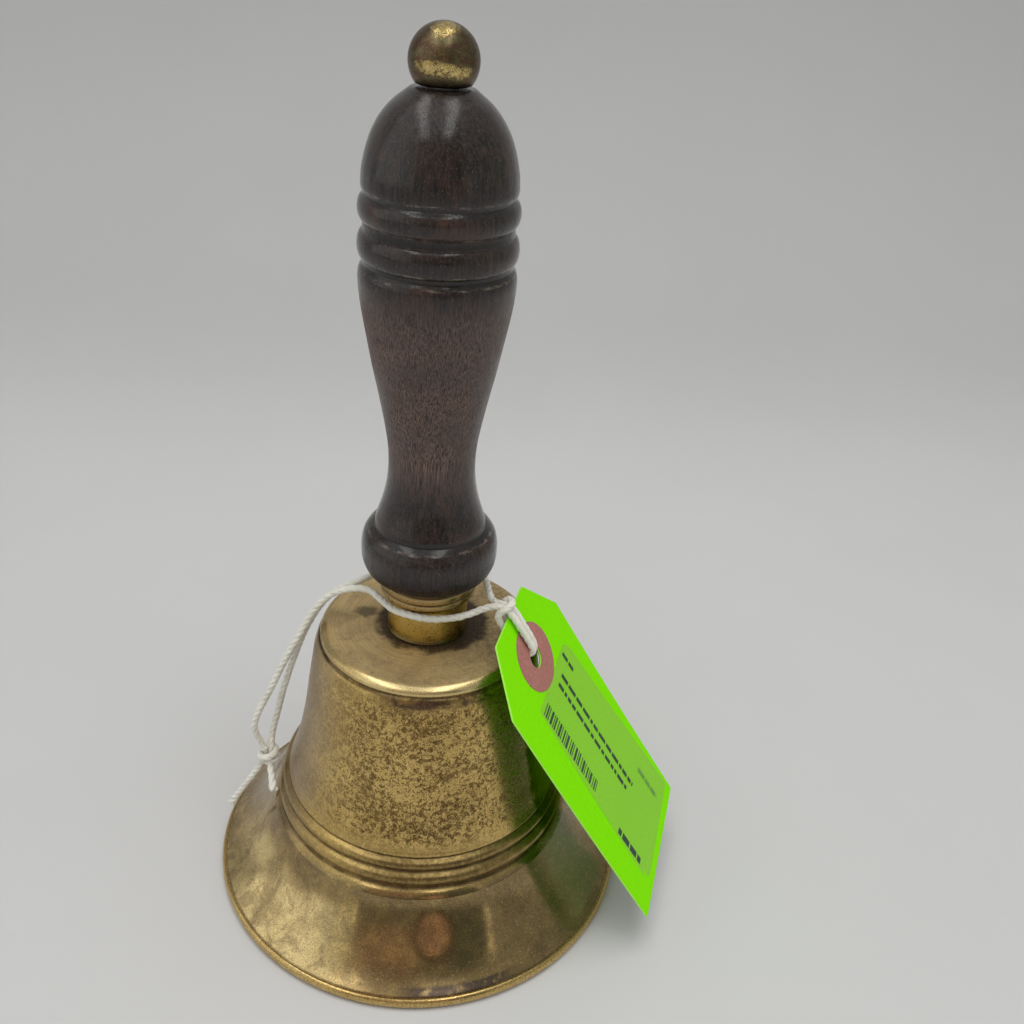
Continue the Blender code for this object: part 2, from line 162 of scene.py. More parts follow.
class Surface(Graph):
    """A material, its Principled node and object coordinates in millimetres."""

    def __init__(self, name):
        self.material = bpy.data.materials.new(name)
        self.material.use_nodes = True
        super().__init__(self.material.node_tree)
        self.principled = self.tree.nodes["Principled BSDF"]
        place = self.value("ShaderNodeTexCoord", output="Object")
        self.coords = self.value("ShaderNodeVectorMath", {0: place, "Scale": 1000.0},
                                 operation="SCALE")

    def finish(self, inputs):
        for key, value in inputs.items():
            self.put(self.principled.inputs[key], value)
        return self.material


def calc(operation, first, second=0.0, clamp=False):
    """A math node; at least one operand is a Value."""
    graph = (first if isinstance(first, Value) else second).graph
    return graph.value("ShaderNodeMath", {0: first, 1: second, 2: 0.0},
                       operation=operation, use_clamp=clamp)


def maximum(first, second):
    return calc("MAXIMUM", first, second)


def bands(value, rows):
    """The union of several bands; rows hold (at, half, soft)."""
    union = None
    for at, half, soft in rows:
        one = value.band(at, half, soft)
        union = one if union is None else maximum(union, one)
    return union


def split(vector_value):
    node = vector_value.graph.add("ShaderNodeSeparateXYZ", {0: vector_value})
    return [Value(vector_value.graph, socket) for socket in node.outputs]


def vector(x, y, z):
    return x.graph.value("ShaderNodeCombineXYZ", {0: x, 1: y, 2: z})


def length(*sides):
    total = sides[0] * sides[0]
    for side in sides[1:]:
        total = total + side * side
    return calc("SQRT", total)


def turn_angle(x, y):
    """Angle about the axis in radians, 0 at the front (-Y) and positive to +X."""
    return calc("ARCTAN2", x, y * -1.0)


def polar(coords):
    """Radius, height and turning angle."""
    x, y, z = split(coords)
    return length(x, y), z, turn_angle(x, y)


def around(angle, scale):
    """The turning angle as two coordinates that meet without a seam at the back."""
    return calc("SINE", angle) * scale, calc("COSINE", angle) * scale


def lathe_marks(radius, height, angle, radial, axial):
    """Coordinates that vary along the profile and hardly round it."""
    return vector(radius * radial, calc("COSINE", angle * 0.5), height * axial)


def scaled(colour, factor):
    return tuple(channel * factor for channel in colour)


# ============================================================ brass of the bell
# The zones below share one tuple of fields: place, then noise from coarse to fine:
# (coords, radius, height, angle, patch, mid, speck, fine, glint)
def waist_colour(fields):
    """Gold with brown mottling and film, painted shade under the crown's roll and a painted green
    reflection of the tag; also their masks.
    """
    coords, _, height, angle, patch, mid, speck, fine, glint = fields
    broad = coords.noise(scale=0.045, detail=4, rough=0.6)
    gold = broad.step(off=0.35, on=0.65).mix((0.58, 0.400, 0.130), (0.70, 0.495, 0.175))
    gold = patch.step(off=0.42, on=0.70, last=0.6).mix(gold, (0.40, 0.275, 0.105))
    gold = fine.step(off=0.42, on=0.62, last=0.45).mix(gold, (0.32, 0.22, 0.085))
    gold = glint.step(off=0.56, on=0.66, last=0.75).mix(gold, (0.86, 0.66, 0.31))
    # brown mottling: fine clustered grains, strongest on the front of the waist
    on_waist = height.step(off=27.0, on=30.0) * height.step(off=61.4, on=57.5)
    facing = (abs(angle - 0.10) + (patch - 0.5) * 1.0).step(
        off=0.45, on=1.10, first=1.0, last=0.25)
    region = on_waist * facing
    grain = speck * 0.66 + fine * 0.34
    grain = grain + (patch - 0.5) * 0.22
    grain = grain + (coords.noise(scale=6.0, detail=2, rough=0.5) - 0.5) * 0.10
    grain = grain - angle.band(at=0.62, half=0.16, soft=0.30) * 0.016
    mottle = grain.step(off=0.452, on=0.548)
    mottle = mottle * region.lerp(0.22, 0.96)
    brown = glint.step(off=0.36, on=0.60).mix((0.080, 0.047, 0.017), (0.265, 0.168, 0.060))
    colour = mottle.mix(gold, brown)
    # purplish-brown film on the left
    left = (angle + (mid - 0.5) * 0.8).step(off=-0.62, on=-1.25)
    film = left * angle.step(off=-3.0, on=-2.1) * height.step(off=66.0, on=60.0) * 0.60
    colour = film.mix(colour, (0.33, 0.255, 0.185))
    # painted shade: a dark patch just under the shoulder, at the front, below the crown's roll
    shade_under_roll = (height.band(at=60.35, half=0.55, soft=0.9)
              * angle.band(at=0.16, half=0.38, soft=0.34))
    shade_under_roll = shade_under_roll * mid.step(off=0.36, on=0.60)
    colour = (shade_under_roll * 0.85).mix(colour, (0.075, 0.045, 0.045))
    # painted green reflection of the tag round the right
    tag_green_waist = ((angle + (mid - 0.5) * 0.14).step(off=0.94, on=1.01)
             * angle.step(off=2.3, on=1.75))
    tag_green_waist = tag_green_waist * (height.step(off=61.6, on=60.6) * height.step(off=18.0, on=20.0))
    green = fine.step(off=0.42, on=0.60).mix((0.034, 0.094, 0.010), (0.088, 0.150, 0.026))
    return (tag_green_waist * 0.88).mix(colour, green), mottle, film, tag_green_waist


def bead_colour(colour, fields):
    """The two turned beads between waist and flare, darkened most at the front by painted shade."""
    _, _, height, angle, _, _, speck, _, _ = fields
    on_beads = height.step(off=18.6, on=19.2) * height.step(off=26.6, on=26.0)
    # painted shade: brown most at the front of the beads
    dulled_and_shaded = abs(angle - 0.10).step(off=0.30, on=0.80, first=0.92, last=0.30)
    brown = speck.step(off=0.40, on=0.58).mix((0.32, 0.230, 0.092), (0.18, 0.124, 0.048))
    return (on_beads * dulled_and_shaded).mix(colour, brown), on_beads


def flare_colour(colour, fields):
    """Smoother brass: golden at the left, brown at the front and right, with painted shade and
    painted reflections.
    """
    coords, _, height, angle, patch, mid, speck, fine, glint = fields
    on_flare = height.step(off=19.6, on=17.8)
    flare = mid.step(off=0.36, on=0.66).mix((0.46, 0.325, 0.135), (0.31, 0.215, 0.095))
    flare = patch.step(off=0.46, on=0.66, last=0.75).mix(flare, (0.22, 0.155, 0.075))
    golden = (angle.band(at=-0.92, half=0.28, soft=0.45)
              * height.band(at=6.5, half=4.0, soft=5.0))
    gold = patch.step(off=0.40, on=0.60).mix((0.90, 0.70, 0.335), (0.50, 0.375, 0.180))
    flare = (golden * 0.86).mix(flare, gold)
    dulled_and_shaded = angle.step(off=0.28, on=0.62) * angle.step(off=2.4, on=1.7)
    flare = (dulled_and_shaded * 0.50).mix(flare, (0.235, 0.180, 0.085))
    # painted shade: a darker band under the beads, at the front
    shade_under_beads = height.step(off=13.8, on=16.6) * angle.band(at=0.0, half=0.62, soft=0.45)
    flare = (shade_under_beads * 0.22).mix(flare, (0.16, 0.135, 0.08))
    # a painted green reflection of the tag at the right, kept off the rim
    tag_green_flare = ((angle + (speck - 0.5) * 0.22).step(off=0.86, on=1.00)
            * (angle + (speck - 0.5) * 0.22).step(off=1.36, on=1.24))
    tag_green_flare = tag_green_flare * (height + (speck - 0.5) * 3.0).step(off=3.1, on=4.2)
    green = fine.step(off=0.42, on=0.58).mix((0.066, 0.125, 0.014), (0.205, 0.280, 0.052))
    flare = (tag_green_flare * 0.72).mix(flare, green)
    flare = fine.step(off=0.47, on=0.64, last=0.55).mix(flare, (0.150, 0.105, 0.048))
    flare = glint.step(off=0.55, on=0.66, last=0.42).mix(flare, (0.72, 0.56, 0.30))
    # clouds of darker film with ragged edges
    clouds = coords.stretch(scale=(1, 1, 0.7), offset=(21, 8, 3)).noise(
        scale=0.22, detail=5, rough=0.68, distort=0.8)
    flare = clouds.step(off=0.50, on=0.60, last=0.45).mix(
        flare, speck.step(off=0.4, on=0.6).mix((0.28, 0.20, 0.105), (0.17, 0.125, 0.070)))
    # small painted dark reflection just above the rim, at the front
    stain_and_dark_reflection = (height.band(at=3.15, half=0.35, soft=0.5)
             * angle.band(at=0.20, half=0.17, soft=0.16))
    stain_and_dark_reflection = stain_and_dark_reflection * mid.step(off=0.34, on=0.50, first=0.25, last=0.85)
    flare = stain_and_dark_reflection.mix(flare, (0.080, 0.060, 0.058))
    colour = on_flare.mix(colour, flare)
    # fine pale scratches
    scratch = coords.stretch(scale=(2.6, 0.16, 0.5), offset=(4, 2, 8)).noise(
        scale=1.0, detail=2, rough=0.5)
    scratch = scratch.band(at=0.5, half=0.004, soft=0.006) * mid.step(off=0.50, on=0.60)
    colour = (scratch * (on_flare * 0.45)).mix(colour, (0.62, 0.48, 0.26))
    return colour, on_flare, tag_green_flare


def crown_colour(colour, fields):
    """The flat top: brushed brown gold with concentric marks, a stained patch and a dark ring round
    the collar.
    """
    coords, radius, height, angle, patch, mid, speck, fine, glint = fields
    on_crown = height.step(off=62.4, on=63.0) * radius.step(off=21.4, on=20.3)
    rings = vector(radius * 2.8, *around(angle, 0.9)).noise(scale=1.0, detail=4, rough=0.75)
    crown = rings.step(off=0.3, on=0.7).mix((0.46, 0.330, 0.150), (0.61, 0.450, 0.220))
    crown = patch.step(off=0.44, on=0.62, last=0.55).mix(crown, (0.36, 0.255, 0.125))
    crown = mid.step(off=0.50, on=0.70, last=0.6).mix(crown, (0.30, 0.210, 0.110))
    crown = glint.step(off=0.52, on=0.66, last=0.35).mix(crown, (0.80, 0.64, 0.38))
    right = angle.step(off=0.15, on=1.1) * angle.step(off=3.0, on=2.2)
    crown = (right * 0.60).mix(
        crown, speck.step(off=0.44, on=0.56).mix((0.42, 0.31, 0.15), (0.16, 0.115, 0.06)))
    colour = on_crown.mix(colour, crown)
    # dark stain on the left, centred at x = -12.6, y = 3.0
    x, y, _ = split(coords)
    from_x, from_y = x + 12.6, y - 3.0
    stain_and_dark_reflection = calc("SQRT", from_x * from_x * 0.45 + from_y * from_y)
    stain_and_dark_reflection = (stain_and_dark_reflection + (mid - 0.5) * 4.0).step(off=0.9, on=2.4, first=0.75, last=0.0)
    colour = (stain_and_dark_reflection * on_crown).mix(colour, (0.085, 0.065, 0.04))
    # dark ring round the collar's foot, reaching further out on the right
    reach = angle.step(off=-0.2, on=1.6, last=2.4) * angle.step(off=3.0, on=2.0)
    dark_ring = (radius + (mid - 0.5) * 4.6 - reach).step(off=11.2, on=9.2)
    dark_ring = dark_ring * fine.step(off=0.20, on=0.50, first=0.55, last=1.0)
    return (dark_ring * on_crown * 0.93).mix(colour, (0.036, 0.022, 0.017)), on_crown


def edges_wear_and_highlight(colour, fields):
    """Rubbed shoulder with a painted highlight strongest at the front, rim, dirt in the turned
    lines and black pin specks.
    """
    coords, radius, height, angle, patch, mid, _, fine, _ = fields
    edge = radius.band(at=21.55, half=0.45, soft=0.55) * height.step(off=61.6, on=62.1)
    # the rubbed edge is brightest at the front: painted highlight on top of the wear
    front_highlight = calc("ADD", angle.band(at=0.02, half=0.42, soft=0.35), 0.35, clamp=True)
    worn = edge * front_highlight * patch.step(off=0.30, on=0.50, first=0.60, last=1.0)
    colour = worn.mix(colour, (0.74, 0.585, 0.29))
    rim = height.step(off=2.62, on=2.52)
    rim = rim * radius.step(off=44.3, on=44.6)
    colour = (rim * 0.9).mix(
        colour, fine.step(off=0.42, on=0.60).mix((0.72, 0.52, 0.20), (0.40, 0.27, 0.10)))
    lines = bands(height, ((25.95, 0.12, 0.20), (23.0, 0.10, 0.24), (19.35, 0.14, 0.28),
                           (61.22, 0.12, 0.36)))
    lines = lines * radius.step(off=21.7, on=22.0)
    lines = maximum(lines, height.band(at=2.63, half=0.05, soft=0.12) * 0.6)
    dirt = lines * mid.step(off=0.30, on=0.60, first=0.50, last=0.90)
    colour = dirt.mix(colour, (0.075, 0.050, 0.024))
    dots = coords.cells(scale=1.7).step(off=0.10, on=0.19, first=1.0, last=0.0)
    dots = dots * mid.step(off=0.47, on=0.56)
    return (dots * 0.8).mix(colour, (0.05, 0.03, 0.015)), edge


def brass_bell():
    brass = Surface("bell_brass_fine")
    coords = brass.coords
    radius, height, angle = polar(coords)
    patch = coords.stretch(offset=(11, 4, 7)).noise(
        scale=0.10, detail=5, rough=0.62, distort=0.4)
    mid = coords.noise(scale=0.32, detail=4, rough=0.6, distort=0.3)
    speck = coords.noise(scale=0.98, detail=4, rough=0.74, distort=0.35)
    fine = coords.noise(scale=3.3, detail=3, rough=0.72)
    glint = coords.stretch(offset=(6, 2, 9)).noise(scale=2.4, detail=3, rough=0.7)
    grit = coords.noise(scale=7.0, detail=2, rough=0.6)
    fields = coords, radius, height, angle, patch, mid, speck, fine, glint

    colour, mottle, film, tag_green_waist = waist_colour(fields)
    colour, on_beads = bead_colour(colour, fields)
    colour, on_flare, tag_green_flare = flare_colour(colour, fields)
    colour, on_crown = crown_colour(colour, fields)
    colour, edge = edges_wear_and_highlight(colour, fields)

    # the brushed, oxidised crown is duller than bare metal
    metal = (on_crown * (1.0 - edge)).lerp(1.0, 0.60)
    # the painted green reflection of the tag also tints the specular
    tint = tag_green_waist.mix((1.0, 1.0, 1.0), (0.30, 0.42, 0.14))

    # roughness zone by zone: waist, beads, flare (hazy at the right, duller low), crown, edge
    rough = mottle.lerp(0.24, 0.44)
    rough = rough + film * 0.14
    rough = on_beads.lerp(rough, 0.34)
    rough = on_flare.lerp(rough, mid.step(off=0.35, on=0.7, first=0.08, last=0.17))
    hazy = angle.step(off=0.60, on=0.95) * angle.step(off=2.6, on=1.9) * on_flare
    rough = rough + hazy * 0.17
    rough = rough + height.step(off=8.0, on=3.6) * 0.14
    rough = on_crown.lerp(rough, 0.46)
    rough = edge.lerp(rough, 0.27)
    rough = rough + (fine - 0.5) * 0.16

    # tooling marks and a faint etched relief under the mottling
    tooling = lathe_marks(radius, height, angle, radial=3.0, axial=3.0).noise(
        scale=1.0, detail=3, rough=0.6)
    relief = tooling * 0.22 + mottle * -0.50
    relief = relief + fine * 0.34
    relief = relief + grit * 0.14
    relief = relief * on_flare.lerp(1.0, 0.42)
    return brass.finish({
        "Base Color": colour,
        "Metallic": metal - tag_green_flare * on_flare * 0.60,
        "Specular IOR Level": 0.3,
        "Specular Tint": tint,
        "Roughness": maximum(rough, 0.06),
        "Normal": relief.bump(distance=0.00004, strength=0.65)})


# ============================================================ other materials
def brass_inside():
    brass = Surface("bell_brass_inside")
    radius, height, angle = polar(brass.coords)
    mid = brass.coords.noise(scale=0.22, detail=5, rough=0.62)
    tooling = lathe_marks(radius, height, angle, radial=0.8, axial=1.6).noise(
        scale=1.0, detail=4, rough=0.65)
    colour = tooling.mix((0.20, 0.13, 0.055), (0.40, 0.28, 0.12))
    colour = mid.step(off=0.48, on=0.68, last=0.8).mix(colour, (0.10, 0.065, 0.035))
    return brass.finish({
        "Base Color": colour,
        "Metallic": 1.0,
        "Roughness": mid.step(off=0.3, on=0.7, first=0.36, last=0.55),
        "Normal": tooling.bump(distance=0.00008, strength=0.6)})


def brass_collar():
    """Collar and ferrule; the ferrule starts above 72.4."""
    brass = Surface("collar_brass_fine")
    x, y, height = split(brass.coords)
    angle = turn_angle(x, y)
    mid = brass.coords.noise(scale=0.5, detail=4, rough=0.6)
    speck = brass.coords.noise(scale=2.6, detail=3, rough=0.6)
    tooling = vector(*around(angle, 0.6), height * 5.0).noise(scale=1.0, detail=3, rough=0.6)
    gold = mid.mix((0.47, 0.350, 0.095), (0.60, 0.455, 0.155))
    gold = height.step(off=72.4, on=72.6).mix(
        gold, tooling.mix((0.26, 0.18, 0.085), (0.60, 0.44, 0.19)))
    colour = speck.step(off=0.60, on=0.66).mix(gold, (0.06, 0.035, 0.015))
    # dirt at the collar's foot and in the ferrule's two grooves
    foot = height.step(off=64.8, on=63.9) * 0.75
    colour = foot.mix(colour, (0.05, 0.03, 0.02))
    grooves = bands(height, ((74.2, 0.12, 0.16), (75.9, 0.15, 0.16)))
    colour = (grooves * 0.75).mix(colour, (0.05, 0.035, 0.02))
    return brass.finish({
        "Base Color": colour,
        "Metallic": 1.0,
        "Roughness": mid.step(off=0.3, on=0.7, first=0.24, last=0.40),
        "Normal": tooling.bump(distance=0.00006, strength=0.6)})


def brass_ball():
    """The finial: thick tarnish at the sides, rubbed bright on top with a painted highlight, and
    low at the front.
    """
    brass = Surface("finial_brass_fine")
    coords = brass.coords
    x, y, height = split(coords)
    big = coords.stretch(scale=(1, 1, 1.3), offset=(3.1, 1.7, 0.4)).noise(
        scale=0.30, detail=5, rough=0.65, distort=0.6)
    cloud = coords.stretch(scale=(1, 1, 1.6), offset=(8.0, 2.0, 5.0)).noise(
        scale=0.55, detail=4, rough=0.65, distort=0.4)
    fleck = coords.noise(scale=2.0, detail=4, rough=0.75)
    dust = coords.noise(scale=5.0, detail=3, rough=0.7)
    brown = cloud.step(off=0.36, on=0.62).mix((0.120, 0.066, 0.042), (0.145, 0.125, 0.062))
    brown = dust.step(off=0.52, on=0.66, last=0.6).mix(brown, (0.26, 0.20, 0.15))
    gold = fleck.step(off=0.36, on=0.62).mix((0.50, 0.36, 0.120), (0.90, 0.71, 0.30))
    side = abs(x).step(off=2.6, on=4.8)
    # rubbed bright patch with a painted highlight, centred at y = -2.6, z = 177.2
    rubbed_highlight = length(x, y + 2.6, height - 177.2).step(off=3.6, on=1.0)
    low_band = ((height - x * -0.10).band(at=171.5, half=0.35, soft=1.25)
                * y.step(off=-1.2, on=-4.4))
    low_band = low_band * cloud.step(off=0.36, on=0.52, first=0.60, last=1.0)
    speckled = dust.step(off=0.36, on=0.56, first=0.45, last=1.0)
    tarnish = side * 0.55 + (big - 0.5) * 1.7
    tarnish = tarnish + (fleck - 0.5) * 2.3
    tarnish = tarnish + 1.10
    tarnish = tarnish - speckled * maximum(rubbed_highlight * 1.0, low_band * 1.12)
    tarnish = tarnish.step(off=0.08, on=0.86)
    colour = tarnish.mix(gold, brown)
    pinholes = coords.cells(scale=2.3).step(off=0.13, on=0.22, first=1.0, last=0.0)
    colour = (pinholes * fleck.step(off=0.44, on=0.54)).mix(colour, (0.03, 0.02, 0.012))
    foot = height.step(off=169.1, on=168.7)
    relief = tarnish * -0.6 + pinholes * -0.8
    return brass.finish({
        "Base Color": foot.mix(colour, (0.03, 0.02, 0.015)),
        "Metallic": 1.0,
        "Roughness": tarnish.lerp(0.16, 0.33) + (dust - 0.5) * 0.2,
        "Normal": (relief + dust * 0.35).bump(distance=0.00003, strength=0.6)})


def stained_wood():
    wood = Surface("stained_wood_fine")
    coords = wood.coords
    x, y, height = split(coords)
    angle = turn_angle(x, y)
    # all but the broad field are drawn out along the grain
    grain = coords.stretch(scale=(1.7, 1.7, 0.055)).noise(
        scale=1.0, detail=5, rough=0.66, distort=0.25)
    hair = coords.stretch(scale=(7.0, 7.0, 0.17), offset=(7, 3, 1)).noise(
        scale=1.0, detail=3, rough=0.65)
    pores = coords.stretch(scale=(5.4, 5.4, 0.30), offset=(2, 9, 4)).noise(
        scale=1.0, detail=2, rough=0.5)
    fleck = coords.stretch(scale=(6.5, 6.5, 1.8), offset=(5, 5, 2)).noise(
        scale=1.0, detail=2, rough=0.6)
    broad = coords.noise(scale=0.06, detail=4, rough=0.6)
    colour = grain.step(off=0.36, on=0.68).mix(
        (0.0050, 0.0032, 0.0031), (0.029, 0.0168, 0.0142))
    # worn paler through the taper
    worn = height.step(off=95.0, on=106.0) * height.step(off=138.6, on=131.0)
    worn = worn * broad.step(off=0.36, on=0.60, first=0.55, last=1.0)
    colour = worn.mix(colour, hair.step(off=0.38, on=0.62).mix(
        (0.052, 0.0315, 0.0250), (0.172, 0.108, 0.086)))
    colour = pores.step(off=0.57, on=0.66, last=0.85).mix(colour, (0.0055, 0.0040, 0.0036))
    colour = fleck.step(off=0.62, on=0.72, last=0.60).mix(colour, (0.17, 0.145, 0.13))
    # red-brown where the stain is thin
    thin = coords.noise(scale=0.13, detail=4, rough=0.6).step(off=0.50, on=0.68) * 0.55
    thin = thin * hair.step(off=0.35, on=0.6)
    colour = thin.mix(colour, (0.072, 0.034, 0.020))
    # dark in the turned grooves
    grooves = bands(height, ((151.5, 0.25, 0.5), (146.2, 0.25, 0.5), (140.1, 0.25, 0.5),
                             (88.15, 0.25, 0.7)))
    colour = (grooves * 0.8).mix(colour, (0.006, 0.0045, 0.004))
    # rubbed-through arrises beside each groove
    rubbed = bands(height, [(at, 0.10, 0.22) for at in (152.5, 147.3, 141.2, 139.2, 87.2)])
    broken = vector(*around(angle, 6.0), height * 1.5).noise(scale=1.0, detail=4, rough=0.75)
    rubbed = rubbed * broken.step(off=0.46, on=0.66)
    colour = (rubbed * 0.52).mix(colour, (0.24, 0.190, 0.16))

    beads = maximum(height.band(at=146.0, half=6.0, soft=1.5), height.step(off=92.0, on=89.0))
    relief = grain * 0.5 + pores.step(off=0.54, on=0.68) * -0.9
    relief = relief + hair * 0.45
    relief = relief + fleck * 0.35
    return wood.finish({
        "Base Color": colour,
        "Roughness": worn.lerp(0.42, 0.55) + (hair - 0.5) * 0.45,
        "Specular IOR Level": worn.lerp(0.06, 0.34),
        "Coat Weight": worn.lerp(1.0, 0.10) * height.step(off=79.0, on=84.5, first=0.20),
        "Coat IOR": 1.50,
        "Coat Roughness": beads.lerp(0.11, 0.07),
        "Normal": relief.bump(distance=0.00013, strength=0.8),
        "Coat Normal": relief.bump(distance=0.00004, strength=0.45)})


def steel(name, base, rust):
    metal = Surface(name)
    mid = metal.coords.noise(scale=0.8, detail=4, rough=0.6)
    fine = metal.coords.noise(scale=5.0, detail=3, rough=0.6)
    colour = mid.step(off=0.35, on=0.7).mix(base, scaled(base, 0.62))
    colour = fine.step(off=0.58, on=0.70, last=rust).mix(colour, (0.16, 0.075, 0.03))
    return metal.finish({
        "Base Color": colour,
        "Metallic": 1.0,
        "Roughness": mid.step(off=0.3, on=0.7, first=0.28, last=0.50),
        "Normal": fine.bump(distance=0.00004, strength=0.5)})


def cotton():
    string = Surface("cotton_fine")
    fibre = string.coords.stretch(scale=(9, 9, 9)).noise(scale=1.0, detail=4, rough=0.7)
    soil = string.coords.noise(scale=0.22, detail=4, rough=0.6)
    colour = soil.step(off=0.38, on=0.70).mix((0.84, 0.82, 0.72), (0.70, 0.67, 0.55))
    colour = fibre.step(off=0.38, on=0.62, last=0.40).mix(colour, (0.92, 0.91, 0.84))
    return string.finish({
        "Base Color": colour,
        "Roughness": 0.92,
        "Sheen Weight": 0.5,
        "Sheen Roughness": 0.5,
        "Subsurface Weight": 0.12,
        "Subsurface Radius": (0.0006, 0.0006, 0.0006),
        "Normal": fibre.bump(distance=0.0002, strength=0.8)})


def paper(name, base, deep, glow=0.0, rough=0.68, specular=0.10, back=1.0):
    """Fibrous sheet; back below 1 darkens the side turned away from local +Z with painted shade."""
    sheet_look = Surface(name)
    fibre = sheet_look.coords.stretch(scale=(1.6, 1.6, 1.6)).noise(
        scale=1.0, detail=5, rough=0.7)
    cloud = sheet_look.coords.noise(scale=0.08, detail=3, rough=0.5)
    colour = fibre.step(off=0.35, on=0.68).mix(base, deep)
    colour = cloud.step(off=0.4, on=0.7, last=0.35).mix(colour, deep)
    # painted shade on the back of the sheet
    if back < 1:
        normal = sheet_look.value("ShaderNodeNewGeometry", output="True Normal")
        normal = sheet_look.value("ShaderNodeVectorTransform", {0: normal},
                                  vector_type="NORMAL", convert_from="WORLD",
                                  convert_to="OBJECT")
        behind = split(normal)[2].step(off=0.2, on=-0.2)
        colour = behind.mix(colour, scaled(deep, back))
    if glow:
        sheet_look.finish({"Emission Color": colour, "Emission Strength": glow})
    return sheet_look.finish({
        "Base Color": colour,
        "Roughness": rough,
        "Specular IOR Level": specular,
        "Normal": fibre.bump(distance=0.00005, strength=0.35)})


def flat_ink(name, colour):
    ink = Surface(name)
    wear = ink.coords.noise(scale=3.0, detail=3, rough=0.6)
    pale = tuple(min(1, channel * 3 + 0.02) for channel in colour)
    return ink.finish({"Base Color": wear.step(off=0.56, on=0.70, last=0.5).mix(colour, pale),
                       "Roughness": 0.6})


BELL_BRASS = brass_bell()
INSIDE_BRASS = brass_inside()
COLLAR_BRASS = brass_collar()
BALL_BRASS = brass_ball()
WOOD = stained_wood()
STEEL = steel("zinc_steel_fine", base=(0.46, 0.46, 0.45), rust=0.35)
IRON = steel("clapper_iron_fine", base=(0.20, 0.185, 0.17), rust=0.8)
COTTON = cotton()
# back=0.55 darkens the card's back: painted shade on the side turned to the bell
CARD = paper("neon_card_fine", base=(0.212, 0.76, 0.0015), deep=(0.200, 0.71, 0.0015),
             glow=0.08, specular=0.03, back=0.55)
PATCH = paper("mauve_patch_fine", base=(0.46, 0.190, 0.182), deep=(0.33, 0.155, 0.105))
LABEL = paper("film_label_fine", base=(0.232, 0.60, 0.013), deep=(0.215, 0.55, 0.016),
              glow=0.05, rough=0.42, specular=0.22)
INK = flat_ink("label_ink", (0.018, 0.05, 0.030))
FAINT_INK = flat_ink("label_faint_ink", (0.12, 0.30, 0.06))


# ============================================================ profiles and paths
def points(*pairs):
    return [Vector(pair) for pair in pairs]


def curve_through(stations, per=6):
    """A Catmull-Rom curve through the stations, with per steps between each two."""
    knots = [Vector(station) for station in stations]
    knots = [knots[0] * 2 - knots[1]] + knots + [knots[-1] * 2 - knots[-2]]
    out = []
    for i in range(1, len(knots) - 2):
        a, b, c, d = knots[i - 1:i + 3]
        for k in range(per):
            t = k / per
            out.append(0.5 * ((2 * b) + (c - a) * t + (2 * a - 5 * b + 4 * c - d) * t * t
                              + (3 * b - a - 3 * c + d) * t ** 3))
    out.append(knots[-2])
    return out


def arc(centre, radii, degrees, steps):
    """Points on an ellipse between two angles."""
    start, end = degrees
    out = []
    for i in range(steps + 1):
        angle = math.radians(start + (end - start) * i / steps)
        out.append(Vector((centre[0] + radii[0] * math.cos(angle),
                           centre[1] + radii[1] * math.sin(angle))))
    return out


def bezier(start, control, end, steps):
    a, b, c = points(start, control, end)
    return [a * (1 - t) ** 2 + b * 2 * t * (1 - t) + c * t * t
            for t in (i / steps for i in range(steps + 1))]


def neighbours(path, i):
    """The points before and after point i, held at the ends."""
    return path[max(i - 1, 0)], path[min(i + 1, len(path) - 1)]


def offset(profile, distance):
    out = []
    for i, point in enumerate(profile):
        before, after = neighbours(profile, i)
        tangent = (after - before).normalized()
        out.append(point + Vector((tangent.y, -tangent.x)) * distance)
    return out


# ============================================================ mesh helpers
def finish_mesh(name, bm, materials, angle=38, at=ORIGIN, matrix=None):
    """Turn bm into a smooth object with edges over angle degrees kept sharp."""
    bmesh.ops.recalc_face_normals(bm, faces=bm.faces)
    mesh = bpy.data.meshes.new(name)
    bm.to_mesh(mesh)
    bm.free()
    for material in materials:
        mesh.materials.append(material)
    mesh.shade_smooth()
    mesh.set_sharp_from_angle(angle=math.radians(angle))
    ob = bpy.data.objects.new(name, mesh)
    bpy.context.scene.collection.objects.link(ob)
    if matrix is not None:
        ob.matrix_world = matrix
    else:
        ob.location = at
    return ob


def skin(bm, rings):
    """Faces between each ring of vertices and the next."""
    for a, b in zip(rings, rings[1:]):
        for k in range(len(a)):
            q = (k + 1) % len(a)
            bm.faces.new((a[k], a[q], b[q], b[k]))


def capped_skin(bm, rings):
    skin(bm, rings)
    bm.faces.new(rings[0])
    bm.faces.new(rings[-1])


def turned(name, profile, materials, segments, closed=True, inner_from=None, waver=None,
           angle=38, at=ORIGIN, matrix=None):
    """A lathe-turned mesh from (radius, height) points.

    Faces from profile point inner_from on take the second material."""
    bm = bmesh.new()
    rings = []
    for radius, height in profile:
        if radius < 1e-6:
            rings.append([bm.verts.new((0, 0, height * MM))])
            continue
        ring = []
        for k in range(segments):
            turn = 2 * math.pi * k / segments
            c, s = math.cos(turn), math.sin(turn)
            reach = radius + (waver(c, s, radius, height) if waver else 0.0)
            ring.append(bm.verts.new((reach * c * MM, reach * s * MM, height * MM)))
        rings.append(ring)
    if closed:
        rings.append(rings[0])
    for i, (a, b) in enumerate(zip(rings, rings[1:])):
        for k in range(segments):
            q = (k + 1) % segments
            if len(a) == 1:
                face = bm.faces.new((a[0], b[k], b[q]))
            elif len(b) == 1:
                face = bm.faces.new((a[k], b[0], a[q]))
            else:
                face = bm.faces.new((a[k], b[k], b[q], a[q]))
            face.material_index = 1 if inner_from is not None and i >= inner_from else 0
    return finish_mesh(name, bm, materials, angle, at, matrix)


